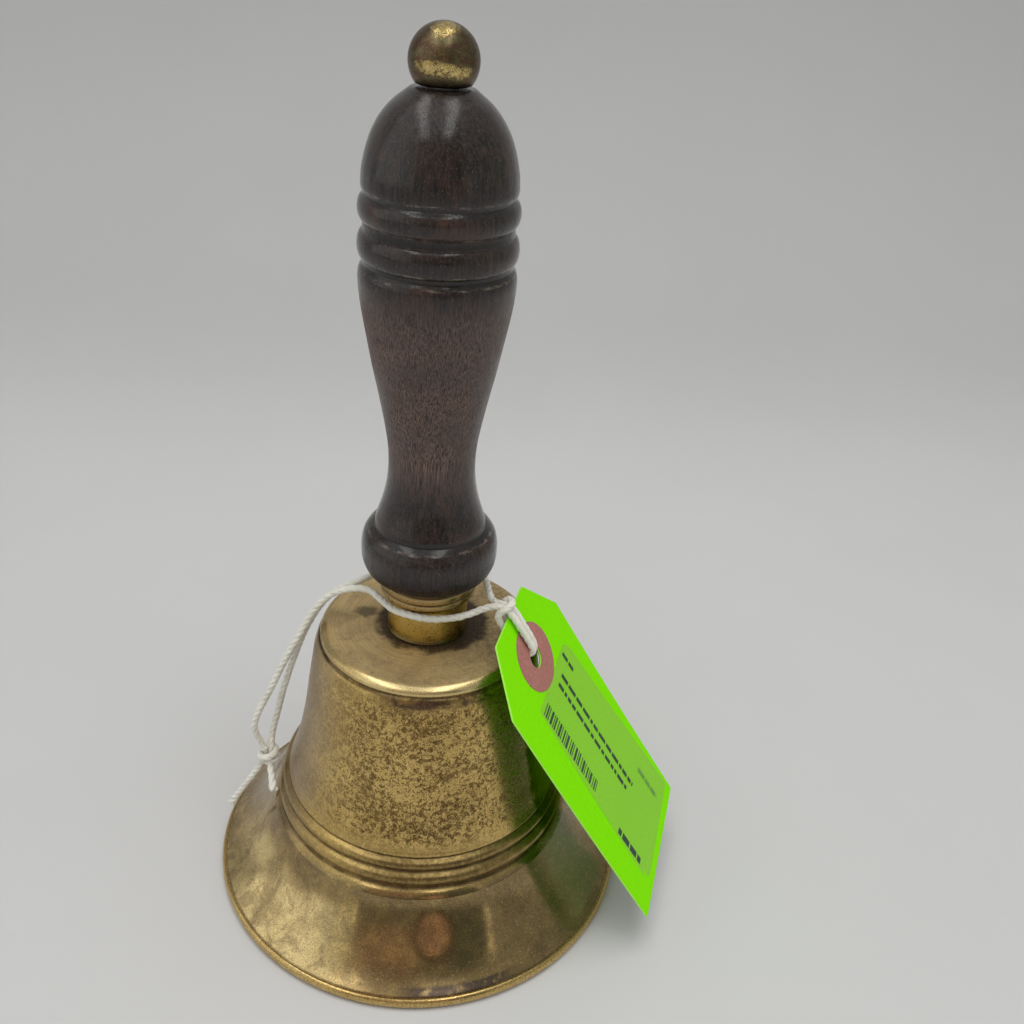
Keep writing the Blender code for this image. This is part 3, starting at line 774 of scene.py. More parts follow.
def show(ob, body, node):
    """Let ob move with body and stand in for a CAD node."""
    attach(ob, body)
    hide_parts(node)


def apply_boolean(ob, tool, operation):
    """Cut or weld with tool, keep the result as the mesh and remove tool."""
    mod = ob.modifiers.new("boolean", "BOOLEAN")
    mod.operation, mod.object, mod.solver = operation, tool, "EXACT"
    bpy.context.view_layer.update()
    evaluated = ob.evaluated_get(bpy.context.evaluated_depsgraph_get())
    done = bpy.data.meshes.new_from_object(evaluated)
    ob.modifiers.clear()
    ob.data = done
    bpy.data.objects.remove(tool)


# ============================================================ bell shell
WALL = 2.2                                   # wall thickness
CROWN_UNDER = 60.5                           # underside of the crown
# (radius, height) stations down the outside
WAIST = curve_through(((23.5, 58.0), (24.7, 50.0), (25.8, 42.0), (27.4, 34.0), (29.0, 28.4)), 8)
FLARE = bezier((33.0, 18.2), (37.2, 8.0), (44.75, 2.7), 30)


def shell_waver(c, s, radius, height):
    """Hundredths of a millimetre of unevenness, so that reflections are not perfect."""
    if radius < 15:
        return 0.0
    value = noise.noise(Vector((c * radius, s * radius, height)) * 0.055) * 0.050
    ripple = Vector((c * radius * 0.16, s * radius * 0.16, height * 0.10))
    return value + noise.noise(ripple + Vector((5, 1, 9))) * 0.022


def shell_outside():
    """Crown, shoulder, waist, two beads, flare and rim, from the bore outwards."""
    out = points((BORE, 63.5), (8.3, 63.5), (14.0, 63.48), (17.8, 63.46), (19.0, 63.455))
    out += arc((19.95, 61.95), (2.2, 1.5), (91, -14), 18)
    out += curve_through(((22.04, 61.42), (22.10, 61.28), (22.28, 61.12), (22.52, 60.90),
                          (22.82, 60.40), (23.02, 59.80), (23.2, 59.2)), 4)
    out += WAIST
    out += curve_through(((29.45, 27.1), (29.75, 26.45)), 2)
    out += curve_through(((29.80, 26.2), (29.62, 26.0), (29.72, 25.75)), 3)
    out += arc((29.85, 24.35), (1.3, 1.25), (72, -62), 9)
    out += points((30.55, 23.05), (30.75, 22.9))
    out += arc((30.75, 21.15), (1.35, 1.5), (72, -66), 10)
    out += curve_through(((31.45, 19.55), (31.65, 19.3), (32.2, 18.85)), 3)
    out += FLARE
    out += points((44.86, 2.60), (44.93, 2.50))
    out += arc((45.0, 1.35), (0.90, 1.22), (82, -50), 12)
    return out + points((45.45, 0.12), (45.2, 0.0))


def shell_inside():
    """The wall's inner face, from the mouth up to the bore."""
    trend = WAIST + curve_through(((30.2, 25.0), (31.5, 21.0), (32.9, 18.3)), 4) + FLARE[1:-1]
    wall = [point for point in reversed(offset(trend, WALL)) if 0.9 < point.y < 59.6]
    out = points((43.2, 0.0), (42.9, 0.06), (42.5, 0.35)) + wall
    out += curve_through(((21.0, 59.4), (20.4, 60.1), (19.4, CROWN_UNDER)), 4)
    return out + points((12.0, CROWN_UNDER), (BORE, CROWN_UNDER))


outside = shell_outside()
show(turned("bell_shell_fine", outside + shell_inside(), [BELL_BRASS, INSIDE_BRASS],
            BELL_SEGMENTS, inner_from=len(outside), waver=shell_waver),
     "bell", "bell_shell")

# ============================================================ collar and ferrule
COLLAR_PROFILE = (                           # (radius, height)
    (BORE, 72.4), (7.9, 72.4), (8.12, 72.3), (8.2, 72.1), (8.2, 70.2), (8.16, 70.0),
    (8.2, 69.8), (8.2, 64.6), (8.28, 64.1), (8.5, 63.8), (BORE, 63.8))
FERRULE_PROFILE = (                          # (radius, height)
    (BORE, 77.0), (9.9, 77.0), (10.1, 76.9), (10.15, 76.7), (10.1, 76.45), (9.85, 76.3),
    (9.68, 76.15), (9.62, 75.95), (9.75, 75.75), (9.8, 75.4), (9.8, 74.5), (9.7, 74.3),
    (9.62, 74.2), (9.7, 74.05), (9.78, 73.8), (9.75, 73.1), (9.6, 72.8), (9.4, 72.7),
    (BORE, 72.7))
for node, profile in (("crown_collar", COLLAR_PROFILE), ("handle_ferrule", FERRULE_PROFILE)):
    show(turned(node + "_fine", profile, [COLLAR_BRASS], BELL_SEGMENTS // 2),
         "bell", node)


# ============================================================ wooden grip
def grip_profile():
    """From the top under the finial: shoulder, two beads, long taper and foot bead."""
    out = points((BORE, 168.3), (5.1, 168.3))
    out += curve_through(((5.4, 168.2), (8.1, 166.1), (9.95, 164.0), (11.15, 162.0),
                          (12.0, 160.0), (12.6, 158.0), (13.1, 155.6), (13.28, 153.3)), 6)
    out += curve_through(((13.2, 152.5), (12.95, 151.9), (12.85, 151.55)), 3)
    out += arc((12.75, 149.25), (1.10, 2.15), (78, -78), 14)
    out += points((13.05, 146.75), (12.98, 146.35), (13.08, 145.9))
    out += arc((12.85, 143.1), (1.10, 2.45), (78, -78), 14)
    out += points((13.05, 140.35), (13.0, 140.05), (13.15, 139.75))
    out += curve_through(((13.55, 139.3), (13.8, 138.4), (13.85, 137.0), (13.6, 134.0),
                          (13.0, 130.0), (11.55, 122.0), (9.9, 114.0), (8.6, 106.5),
                          (8.29, 102.0), (8.5, 98.0), (9.2, 94.2), (10.1, 91.2),
                          (10.75, 89.3), (10.9, 88.4)), 6)
    out += points((11.0, 88.1), (11.4, 87.85))
    out += curve_through(((12.2, 87.2), (13.0, 86.0), (13.45, 84.4), (13.55, 82.8),
                          (13.45, 81.0), (13.1, 79.6), (12.4, 78.2), (11.5, 77.5)), 5)
    return out + points((10.9, 77.3), (BORE, 77.3))


def wood_waver(c, s, radius, height):
    """Slight raised grain running along the handle."""
    if radius < 6:
        return 0.0
    value = noise.noise(Vector((c * radius * 0.5, s * radius * 0.5, height * 0.02))) * 0.030
    return value + noise.noise(
        Vector((c * radius * 1.8, s * radius * 1.8, height * 0.07))) * 0.012


show(turned("handle_grip_fine", grip_profile(), [WOOD], 240,
            waver=wood_waver), "bell", "handle_grip")

# ============================================================ finial ball
FINIAL_CENTRE, FINIAL_RADIUS, FINIAL_SEAT = 172.25, 5.75, 168.6
seat_angle = math.degrees(math.asin((FINIAL_SEAT - FINIAL_CENTRE) / FINIAL_RADIUS))
finial = points((0, FINIAL_CENTRE + FINIAL_RADIUS))
finial += arc((0, FINIAL_CENTRE), (FINIAL_RADIUS, FINIAL_RADIUS), (86, seat_angle + 3), 30)
finial += points((4.1, 168.62), (BORE, FINIAL_SEAT), (BORE, 174.0), (0, 174.0))
show(turned("finial_ball_fine", finial, [BALL_BRASS], 96, closed=False),
     "bell", "finial_ball")


# ============================================================ rod, washers and nuts
def threaded_rod(name, radius=2.5, bottom=47.6, top=173.6, pitch=0.8, depth=0.30,
                 plain_above=60.0, segments=36):
    """A rod with a helical thread below plain_above and a plain shank over it."""
    heights = []
    height = bottom
    while height < plain_above - 1e-6:
        heights.append(height)
        height += pitch / 6
    heights += [plain_above, top]
    bm = bmesh.new()
    rings = []
    for height in heights:
        ring = []
        for k in range(segments):
            turn = 2 * math.pi * k / segments
            phase = ((height - bottom) / pitch - k / segments) % 1.0
            dip = depth * (1 - abs(2 * phase - 1)) if height < plain_above else 0.0
            lead = min(1.0, (height - bottom) / 0.5)       # tapered tip, 0.5 long
            reach = radius - dip - 0.35 * (1 - lead)
            ring.append(bm.verts.new((reach * math.cos(turn) * MM,
                                      reach * math.sin(turn) * MM, height * MM)))
        rings.append(ring)
    capped_skin(bm, rings)
    return finish_mesh(name, bm, [STEEL], 50)


def spring_washer(name, bottom=57.75, top=58.65, inner=BORE, outer=4.7, rise=0.16):
    """A square wire bent round nearly a full turn, its ends sprung apart by rise."""
    bm = bmesh.new()
    section = ((inner, bottom + 0.12), (inner + 0.1, bottom), (outer - 0.1, bottom),
               (outer, bottom + 0.1), (outer, top - 0.1), (outer - 0.1, top),
               (inner + 0.1, top), (inner, top - 0.12))
    rings, steps = [], 64
    for k in range(steps + 1):
        part = k / steps
        turn = math.radians(6 + 348 * part)
        lift = (part - 0.5) * rise
        c, s = math.cos(turn), math.sin(turn)
        rings.append([bm.verts.new((r * c * MM, r * s * MM, (z + lift) * MM))
                      for r, z in section])
    capped_skin(bm, rings)
    return finish_mesh(name, bm, [STEEL], 35)


def nut(name, bottom, top, across=8.0, segments=72):
    """A hexagon nut with domed chamfers and a countersunk bore."""
    face = across / 2 - 0.12                 # radius of the flat end face
    turns = [2 * math.pi * k / segments for k in range(segments)]

    def hexagon(turn):
        return across / 2 / math.cos((turn + math.pi / 6) % (math.pi / 3) - math.pi / 6)

    bm = bmesh.new()

    def end_rings(z, inward):
        """Rings from the bore to the hexagon's edge at one end."""
        levels = (lambda turn: (BORE, z + inward * 0.35),
                  lambda turn: (BORE + 0.35, z),
                  lambda turn: (face, z),
                  lambda turn: (hexagon(turn),
                                z + inward * (0.08 + (hexagon(turn) - face) * 0.55)))
        rings = []
        for level in levels:
            ring = []
            for turn in turns:
                r, height = level(turn)
                ring.append(bm.verts.new((r * math.cos(turn) * MM, r * math.sin(turn) * MM,
                                          height * MM)))
            rings.append(ring)
        return rings

    rings = end_rings(top, -1)
    # the lower end's vertices are made from the edge inwards
    lower_levels = ("edge", "face", "countersink", "bore")
    for kind in lower_levels:
        ring = []
        for turn in turns:
            r, height = {
                "edge": (hexagon(turn), bottom + 0.08 + (hexagon(turn) - face) * 0.55),
                "face": (face, bottom),
                "countersink": (BORE + 0.35, bottom),
                "bore": (BORE, bottom + 0.35)}[kind]
            ring.append(bm.verts.new((r * math.cos(turn) * MM, r * math.sin(turn) * MM,
                                      height * MM)))
        rings.append(ring)
    skin(bm, rings + rings[:1])
    return finish_mesh(name, bm, [STEEL], 30)


WASHER_PROFILE = (                           # (radius, height)
    (BORE, 60.2), (8.7, 60.2), (8.93, 60.12), (9.0, 59.9), (9.0, 59.3), (8.93, 59.08),
    (8.7, 59.0), (BORE, 59.0))
show(threaded_rod("tie_rod_fine"), "bell", "tie_rod")
show(turned("crown_washer_fine", WASHER_PROFILE, [STEEL], 80),
     "bell", "crown_washer")
show(spring_washer("spring_washer_fine"), "bell", "spring_washer")
show(nut("clamp_nut_fine", 53.4, 57.4), "bell", "clamp_nut")
show(nut("yoke_nut_fine", 48.4, 51.0), "bell", "yoke_nut")


# ============================================================ hanger
def yoke(name, inner_half=5.5, thick=1.8, width=9.0, top=53.1, low=39.5, bend=1.4):
    """One strip bent into an upturned U, with a hole in its top and in each ear."""
    left, middle = -inner_half - thick / 2, top - thick / 2
    line = points((left, low), (left, 44.0), (left, middle - bend))
    for i in range(1, 7):
        turn = math.pi - i * math.pi / 12
        line.append(Vector((left + bend + bend * math.cos(turn),
                            middle - bend + bend * math.sin(turn))))
    line += [Vector((-point.x, point.y)) for point in reversed(line)]
    bm = bmesh.new()
    rings = []
    for i, point in enumerate(line):
        before, after = neighbours(line, i)
        along = (after - before).normalized()
        normal = Vector((-along.y, along.x))
        ring = []
        for side, y in ((1, -width / 2), (1, width / 2), (-1, width / 2), (-1, -width / 2)):
            corner = point + normal * (thick / 2 * side)
            ring.append(bm.verts.new((corner.x * MM, y * MM, corner.y * MM)))
        rings.append(ring)
    capped_skin(bm, rings)
    ob = finish_mesh(name, bm, [STEEL], 35)
    for axis, radius, height in (("Z", 2.9, 52.0), ("X", 1.8, PIN_HEIGHT)):
        drill = bmesh.new()
        bmesh.ops.create_cone(drill, cap_ends=True, segments=48, radius1=radius * MM,
                              radius2=radius * MM, depth=0.03)
        if axis == "X":
            bmesh.ops.rotate(drill, cent=(0, 0, 0), verts=drill.verts,
                             matrix=Matrix.Rotation(math.pi / 2, 3, "Y"))
        tool = finish_mesh(name + "_drill", drill, [], 30,
                           ORIGIN + Vector((0, 0, height * MM)))
        apply_boolean(ob, tool, "DIFFERENCE")
    bevel = ob.modifiers.new("edges", "BEVEL")
    bevel.width, bevel.segments = 0.00022, 2
    bevel.limit_method, bevel.angle_limit = "ANGLE", math.radians(50)
    return ob


show(yoke("clapper_yoke_fine"), "hanger", "clapper_yoke")

# pin profile about its own axis, which is then laid along X: domed heads on a thin shank
PIN_HALF, PIN_HEAD, PIN_DOME = 7.6, 2.6, 1.05
pin = [(0, PIN_HALF + PIN_DOME)] + arc((0, PIN_HALF), (PIN_HEAD, PIN_DOME), (75, 8), 8)
pin += [(PIN_HEAD, PIN_HALF), (1.5, PIN_HALF), (1.5, -PIN_HALF), (PIN_HEAD, -PIN_HALF)]
pin += arc((0, -PIN_HALF), (PIN_HEAD, PIN_DOME), (-8, -75), 8) + [(0, -PIN_HALF - PIN_DOME)]
along_x = Matrix.Translation(PIN_ORIGIN) @ Matrix.Rotation(math.pi / 2, 4, "Y")
show(turned("yoke_pin_fine", pin, [STEEL], 48, closed=False, matrix=along_x),
     "hanger", "yoke_pin")

# ============================================================ clapper
STEM_PROFILE = (                             # (radius, height from the pin)
    (0, -2.45), (1.5, -2.45), (2.0, -2.8), (2.1, -3.6), (1.95, -5.0), (1.8, -6.5),
    (1.8, -26.5), (1.75, -30), (1.75, -36.4), (1.4, -36.8), (0, -36.8))


def rounded_power(value):
    """Flattens a sine or cosine so that it traces a rounded square."""
    return math.copysign(abs(value) ** 0.6, value)


def clapper_stem(name, ring_steps=48, section_steps=12):
    """A round rod under an eye, which is a rounded ring about the pin."""
    bm = bmesh.new()
    rings = []
    for k in range(ring_steps):
        turn = 2 * math.pi * k / ring_steps
        ring = []
        for j in range(section_steps):
            around_section = 2 * math.pi * j / section_steps
            reach = 2.65 + 0.75 * rounded_power(math.cos(around_section))
            x = 2.0 * rounded_power(math.sin(around_section))
            ring.append(bm.verts.new((x * MM, reach * math.sin(turn) * MM,
                                      reach * math.cos(turn) * MM)))
        rings.append(ring)
    skin(bm, rings + rings[:1])
    eye = finish_mesh(name, bm, [IRON], 60, PIN_ORIGIN)
    rod = turned(name + "_rod", STEM_PROFILE, [IRON], 40, closed=False, angle=50,
                 at=PIN_ORIGIN)
    apply_boolean(eye, rod, "UNION")
    return eye


def cast_skin(c, s, radius, height):
    if radius <= 2.6:
        return 0.0
    return noise.noise(Vector((c * radius, s * radius, height)) * 0.7) * 0.045


STRIKER_CENTRE, STRIKER_RADIUS = 9.0, 7.0
striker = [(0, 6.6), (2.1, 6.6), (2.1, 15.5), (2.5, 15.62)]
striker += arc((0, STRIKER_CENTRE), (STRIKER_RADIUS, STRIKER_RADIUS), (66, -84), 34)
striker += [(0, STRIKER_CENTRE - STRIKER_RADIUS)]
show(clapper_stem("clapper_stem_fine"), "clapper", "clapper_stem")
show(turned("clapper_ball_fine", striker, [IRON], 72, closed=False, waver=cast_skin),
     "clapper", "clapper_ball")

# ============================================================ string making
STRING_RADIUS = 0.74
TWIST_PITCH, PLIES = 5.0, 3
FRAY_LENGTH, FRAY_SPREAD = 3.5, 1.1          # length that opens, and by how much
FIBRES_PER_MM = 4.2


def resample(path, step):
    """Points at an even spacing along a path."""
    out, carried = [path[0].copy()], 0.0
    for a, b in zip(path, path[1:]):
        left = (b - a).length
        while carried + left >= step:
            t = (step - carried) / left
            a = a + (b - a) * t
            out.append(a.copy())
            left = (b - a).length
            carried = 0.0
        carried += left
    if (out[-1] - path[-1]).length > step * 0.3:
        out.append(path[-1].copy())
    return out


def path_frames(path):
    """(centre, normal, binormal, tangent) at each point, carried along without twist."""
    normal = (path[1] - path[0]).normalized().orthogonal().normalized()
    frames = []
    for i, centre in enumerate(path):
        before, after = neighbours(path, i)
        tangent = (after - before).normalized()
        normal = (normal - tangent * normal.dot(tangent)).normalized()
        frames.append((centre, normal.copy(), tangent.cross(normal), tangent))
    return frames


def add_tube(bm, centres, radius_at, sides):
    """A tube along centres; radius_at takes the fraction of the way along."""
    rings = []
    for i, (centre, normal, binormal, _) in enumerate(path_frames(centres)):
        radius = radius_at(i / (len(centres) - 1))
        ring = []
        for k in range(sides):
            turn = 2 * math.pi * k / sides
            out = normal * math.cos(turn) + binormal * math.sin(turn)
            ring.append(bm.verts.new((centre + out * radius) * MM))
        rings.append(ring)
    skin(bm, rings)
    bm.faces.new(list(reversed(rings[0])))
    bm.faces.new(rings[-1])


def add_fibres(bm, frames, total, radius, rnd):
    """Loose fibres standing off the string."""
    for _ in range(int(total * FIBRES_PER_MM)):
        centre, normal, binormal, tangent = frames[rnd.randrange(2, len(frames) - 2)]
        turn = rnd.uniform(0, 2 * math.pi)
        out = normal * math.cos(turn) + binormal * math.sin(turn)
        base = centre + out * radius * 0.85
        along = tangent * rnd.uniform(-1, 1)
        size = rnd.uniform(0.35, 1.0)
        middle = base + (out * 0.45 + along * 0.9) * size * 0.5
        lift = out * rnd.uniform(0.0, 0.5)
        stray = Vector((rnd.uniform(-.4, .4), rnd.uniform(-.4, .4), rnd.uniform(-.4, .4)))
        tip = middle + (lift + along * 0.7 + stray) * size * 0.5
        add_tube(bm, [base, middle, tip], lambda t: 0.026 * (1.15 - t), 3)


def rope(name, route, seed, body=None, radius=STRING_RADIUS, frayed=False, blend=None):
    """Twisted cotton: plies wound round the route. frayed opens its far end.

    It rides on body; when blend is given it is left unattached, and the bodies and span in blend
    are not used."""
    path = resample(curve_through(route, 12), 0.30)
    step = (path[1] - path[0]).length
    ply_radius, wind_radius = radius * 0.68, radius * 0.33
    frames = path_frames(path)
    count = len(path)
    bm = bmesh.new()
    for k in range(PLIES):
        centres = []
        for i, (centre, normal, binormal, _) in enumerate(frames):
            run = i * step
            phase = 2 * math.pi * (run / TWIST_PITCH + k / PLIES)
            spread = 1.0
            to_end = (count - 1) * step - run
            if frayed and to_end < FRAY_LENGTH:
                spread += (FRAY_LENGTH - to_end) / FRAY_LENGTH * FRAY_SPREAD
            wobble = 1 + 0.06 * noise.noise(Vector((run * 0.5, k * 7.0, seed * 3.0)))
            out = normal * math.cos(phase) + binormal * math.sin(phase)
            centres.append(centre + out * wind_radius * spread * wobble)

        def ply_thickness(t):
            place = Vector((t * count * step * 0.9, k * 5.0, seed))
            return ply_radius * (1 + 0.07 * noise.noise(place))

        add_tube(bm, centres, ply_thickness, 8)
    add_fibres(bm, frames, count * step, radius, random.Random(seed))
    ob = finish_mesh(name, bm, [COTTON], 60, (0, 0, 0) if blend else ORIGIN)
    if blend:
        ob.data.transform(Matrix.Translation(ORIGIN))
        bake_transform(ob)
    else:
        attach(ob, body)
    return ob


# ============================================================ the tag's own frame
HOLE = Vector((22.13, -9.73, 62.34))         # centre of the tag's hole
ACROSS = Vector((0.302, 0.947, 0.109)).normalized()
DOWN = Vector((0.531, -0.070, -0.844))       # along the tag, away from the string
DOWN = (DOWN - ACROSS * DOWN.dot(ACROSS)).normalized()
FACE = DOWN.cross(ACROSS).normalized()       # out of the printed side


def on_tag(rows):
    """Points from rows of (across, down from the hole, out from the middle plane)."""
    return [HOLE + ACROSS * across + DOWN * down + FACE * out for across, down, out in rows]


# ============================================================ string
# each strand: (x, y, z) from the knot over the shoulder and round the collar, then
# (across, down, out) on the tag, through its hole
FRONT_LOOP = [
    (-35.9, -0.6, 29.4), (-37.2, -0.8, 34.0), (-36.0, -0.9, 39.0), (-33.3, -0.9, 45.0),
    (-29.7, -0.9, 53.4), (-26.6, -0.6, 59.6), (-23.9, -0.3, 65.0), (-20.4, 0.0, 69.4),
    (-15.8, -0.2, 71.5), (-12.0, -0.9, 71.6), (-9.3, -3.6, 71.2), (-6.2, -7.2, 71.2),
    (0.0, -9.6, 71.2), (5.2, -8.9, 71.0), (8.6, -8.0, 71.5), (11.0, -8.3, 72.9),
    (13.2, -8.9, 74.0)]
FRONT_LEAD = [
    (-0.62, -13.6, 0.5), (-0.66, -11.6, 1.25), (-0.64, -8.5, 1.25), (-0.62, -5.0, 1.20),
    (-0.60, -3.3, 1.10), (-0.60, -2.1, 0.75), (-0.6, -1.55, 0.1), (-0.6, -1.55, -0.65),
    (-0.7, -2.6, -1.25)]
BACK_LOOP = [
    (-34.1, -0.2, 28.0), (-33.7, 1.1, 31.4), (-32.5, 1.2, 36.4), (-30.8, 1.1, 43.6),
    (-28.3, 0.9, 52.2), (-26.0, 1.0, 58.8), (-23.6, 1.4, 63.8), (-21.2, 1.7, 67.4),
    (-18.4, 2.2, 69.6), (-14.8, 3.8, 70.5), (-10.8, 7.0, 70.8), (-6.2, 10.0, 71.6),
    (0.0, 11.4, 72.4), (6.8, 9.3, 73.0), (10.6, 4.6, 73.3), (11.9, 1.0, 73.3),
    (12.4, -2.6, 73.1), (12.9, -5.4, 73.3), (13.9, -7.6, 74.0)]
BACK_LEAD = [
    (0.66, -13.3, 0.65), (0.70, -11.5, 1.40), (0.66, -8.5, 1.35), (0.62, -5.0, 1.30),
    (0.60, -3.3, 1.15), (0.60, -2.1, 0.80), (0.6, -1.55, 0.1), (0.6, -1.55, -0.65),
    (0.7, -2.6, -1.25)]
# up behind the tag, over its end and across the two strands: (across, down, out)
BIGHT = [
    (0.9, -2.6, -1.6), (1.3, -6.0, -1.5), (1.6, -9.8, -1.5), (1.85, -12.6, -1.1),
    (1.95, -13.7, 0.2), (1.35, -13.9, 1.6), (0.0, -13.8, 2.25), (-1.35, -13.9, 1.5),
    (-1.9, -13.7, 0.1), (-1.8, -12.6, -1.1), (-1.6, -9.8, -1.5), (-1.3, -6.0, -1.5),
    (-0.9, -2.6, -1.6)]
# the knot's two tails: (x, y, z)
LONG_TAIL = [
    (-35.9, -0.6, 29.6), (-35.2, -0.5, 27.4), (-35.6, -0.3, 24.8), (-37.4, 0.0, 21.2),
    (-40.6, 0.3, 15.8), (-42.6, 0.6, 12.4), (-44.0, 0.9, 9.6)]
SHORT_TAIL = [
    (-34.1, -0.2, 28.2), (-34.0, -0.9, 26.2), (-33.9, -2.8, 24.4), (-33.4, -4.8, 22.9),
    (-32.9, -6.6, 21.4)]
KNOT = Vector((-34.6, -0.7, 26.6))
KNOT_AXIS = Vector((0.10, -0.10, -1.0)).normalized()

# along this line every part of the loop comes before the hinge and all of the tag after it
hinge = HOLE - DOWN * 13.9
hinge_line = Vector((0.85, -0.05, -0.52)).normalized()
span = tuple(tuple(ORIGIN + (hinge + hinge_line * d) * MM) for d in (-1.2, 1.0))
strands = [rope(name, loop + on_tag(lead), seed, blend=("string_loop", "tag", *span))
           for name, loop, lead, seed in (("tag_string_front", FRONT_LOOP, FRONT_LEAD, 3),
                                          ("tag_string_back", BACK_LOOP, BACK_LEAD, 8))]
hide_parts("tag_string")
hitch = rope("tag_hitch_fine", on_tag(BIGHT), 12, "tag")
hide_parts("tag_hitch")


def knot_route(turns=1.9, steps=22):
    """The overhand knot's wrap: a short coil that closes in at both ends."""
    side = KNOT_AXIS.orthogonal().normalized()
    other = KNOT_AXIS.cross(side)
    out = [KNOT - KNOT_AXIS * 2.2 + side * 0.3]
    for i in range(steps + 1):
        t = i / steps
        turn = 2 * math.pi * turns * t + 0.6
        radius = 1.75 * min(1.0, 0.45 + 3.0 * t, 0.45 + 3.0 * (1 - t))
        out.append(KNOT + KNOT_AXIS * (-1.5 + 3.2 * t)
                   + (side * math.cos(turn) + other * math.sin(turn)) * radius)
    return out + [KNOT + KNOT_AXIS * 2.3]


rope("string_knot_wrap", knot_route(), 21, "string_loop", radius=0.78)
rope("string_tail_long", LONG_TAIL, 31, "string_loop", frayed=True)
rope("string_tail_short", SHORT_TAIL, 32, "string_loop", frayed=True)

# ============================================================ tag
TAG_TOP, TAG_END = -11.2, 60.2               # ends of the card, down from the hole
TAG_HALF, TAG_TOP_HALF = 17.85, 9.35         # half widths, full and at the clipped top
CARD_FACE = 0.20                             # half the card's thickness
PATCH_FACE, LABEL_FACE, INK_FACE = 0.36, 0.27, 0.295
TAG_BOW = 0.33
TAG_MATRIX = Matrix((ACROSS, -DOWN, FACE)).transposed().to_4x4()
TAG_MATRIX.translation = ORIGIN + HOLE * MM


def tag_point(across, down, out):
    """A local point on the tag, in metres, following the card's slight curl."""
    t = (down - TAG_TOP) / (TAG_END - TAG_TOP)
    curl = -TAG_BOW * math.sin(math.pi * max(0, min(1, t))) + 0.10 * math.sin(across * 0.16)
    return Vector((across * MM, -down * MM, (out + curl) * MM))


def circle(radius, steps):
    return [(radius * math.cos(2 * math.pi * k / steps), radius * math.sin(2 * math.pi * k / steps))
            for k in range(steps)]


def sheet(name, outline, hole_radius, low, high, materials, strip=1.6):
    """A thin sheet from an outline of (across, down) points, with an optional hole.

    A second material, if given, covers its edges."""
    bm = bmesh.new()
    edges = []
    for loop in (outline, circle(hole_radius, 64) if hole_radius else ()):
        verts = [bm.verts.new((x, y, 0)) for x, y in loop]
        edges += [bm.edges.new((verts[i], verts[(i + 1) % len(verts)]))
                  for i in range(len(verts))]
    bmesh.ops.triangle_fill(bm, use_beauty=True, use_dissolve=False, edges=edges)
    # cut the sheet into strips along its length so that it can bow
    downs = [vert.co.y for vert in bm.verts]
    y = min(downs) + strip
    while y < max(downs) - strip * 0.5:
        bmesh.ops.bisect_plane(bm, geom=bm.verts[:] + bm.edges[:] + bm.faces[:],
                               plane_co=(0, y, 0), plane_no=(0, 1, 0), dist=1e-5)
        y += strip
    raised = bmesh.ops.extrude_face_region(bm, geom=bm.faces[:])["geom"]
    upper = {item for item in raised if isinstance(item, bmesh.types.BMVert)}
    for vert in bm.verts:
        vert.co = tag_point(vert.co.x, vert.co.y, high if vert in upper else low)
    bmesh.ops.recalc_face_normals(bm, faces=bm.faces)
    if len(materials) > 1:
        for face in bm.faces:
            if abs(face.normal.z) < 0.5:
                face.material_index = 1
    return finish_mesh(name, bm, materials, 30, matrix=TAG_MATRIX)


def rounded(corners, radius, steps=5):
    """The polygon with its corners rounded off."""
    out = []
    for i, corner in enumerate(corners):
        a, b, c = points(corners[i - 1], corner, corners[(i + 1) % len(corners)])
        back, ahead = (a - b).normalized(), (c - b).normalized()
        cut = min(radius, (a - b).length * 0.4, (c - b).length * 0.4)
        out += [tuple(p) for p in bezier(b + back * cut, b, b + ahead * cut, steps)]
    return out


# paler card edges: painted highlight along the edge
CARD_EDGE_HIGHLIGHT = paper("neon_card_edge_highlight", base=(0.40, 0.86, 0.12), deep=(0.34, 0.80, 0.08), glow=0.08)
CARD_OUTLINE = [(-TAG_TOP_HALF, TAG_TOP), (TAG_TOP_HALF, TAG_TOP), (TAG_HALF, 0.4),
                (TAG_HALF, TAG_END), (-TAG_HALF, TAG_END), (-TAG_HALF, 0.4)]
LABEL_OUTLINE = [(-9.0, 6.8), (11.6, 6.8), (13.0, 9.2), (16.9, 57.3), (-10.8, 58.3)]
show(sheet("tag_card_fine", rounded(CARD_OUTLINE, 0.45), 2.45, -CARD_FACE, CARD_FACE,
           [CARD, CARD_EDGE_HIGHLIGHT]), "tag", "tag_card")
for node, low, high in (("tag_patch_front", CARD_FACE, PATCH_FACE),
                        ("tag_patch_back", -PATCH_FACE, -CARD_FACE)):
    show(sheet(node + "_fine", circle(7.25, 72), 2.4, low, high, [PATCH]),
         "tag", node)
show(sheet("tag_label_fine", rounded(LABEL_OUTLINE, 0.8), None, CARD_FACE, LABEL_FACE,
           [LABEL]), "tag", "tag_label")


# ============================================================ printed marks
def print_marks(name, boxes, ink):
    """Plain bars and dashes from (across, down, across, down) boxes."""
    bm = bmesh.new()
    for u0, v0, u1, v1 in boxes:
        corners = ((u0, v0), (u1, v0), (u1, v1), (u0, v1))
        lower, upper = ([bm.verts.new(tag_point(u, v, face)) for u, v in corners]
                        for face in (LABEL_FACE, INK_FACE))
        bm.faces.new(upper)
        bm.faces.new(list(reversed(lower)))
        skin(bm, [lower, upper])
    ob = finish_mesh(name, bm, [ink], 30, matrix=TAG_MATRIX)
    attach(ob, "tag")


def bars():
    """27 bars of cycling thickness and gap."""
    out, down = [], 8.2
    for i in range(27):
        thick = (0.28, 0.5, 0.28, 0.75)[i % 4]
        out.append((-8.4, down, -5.0, down + thick))
        down += thick + (0.42, 0.30, 0.6)[i % 3]
    return out


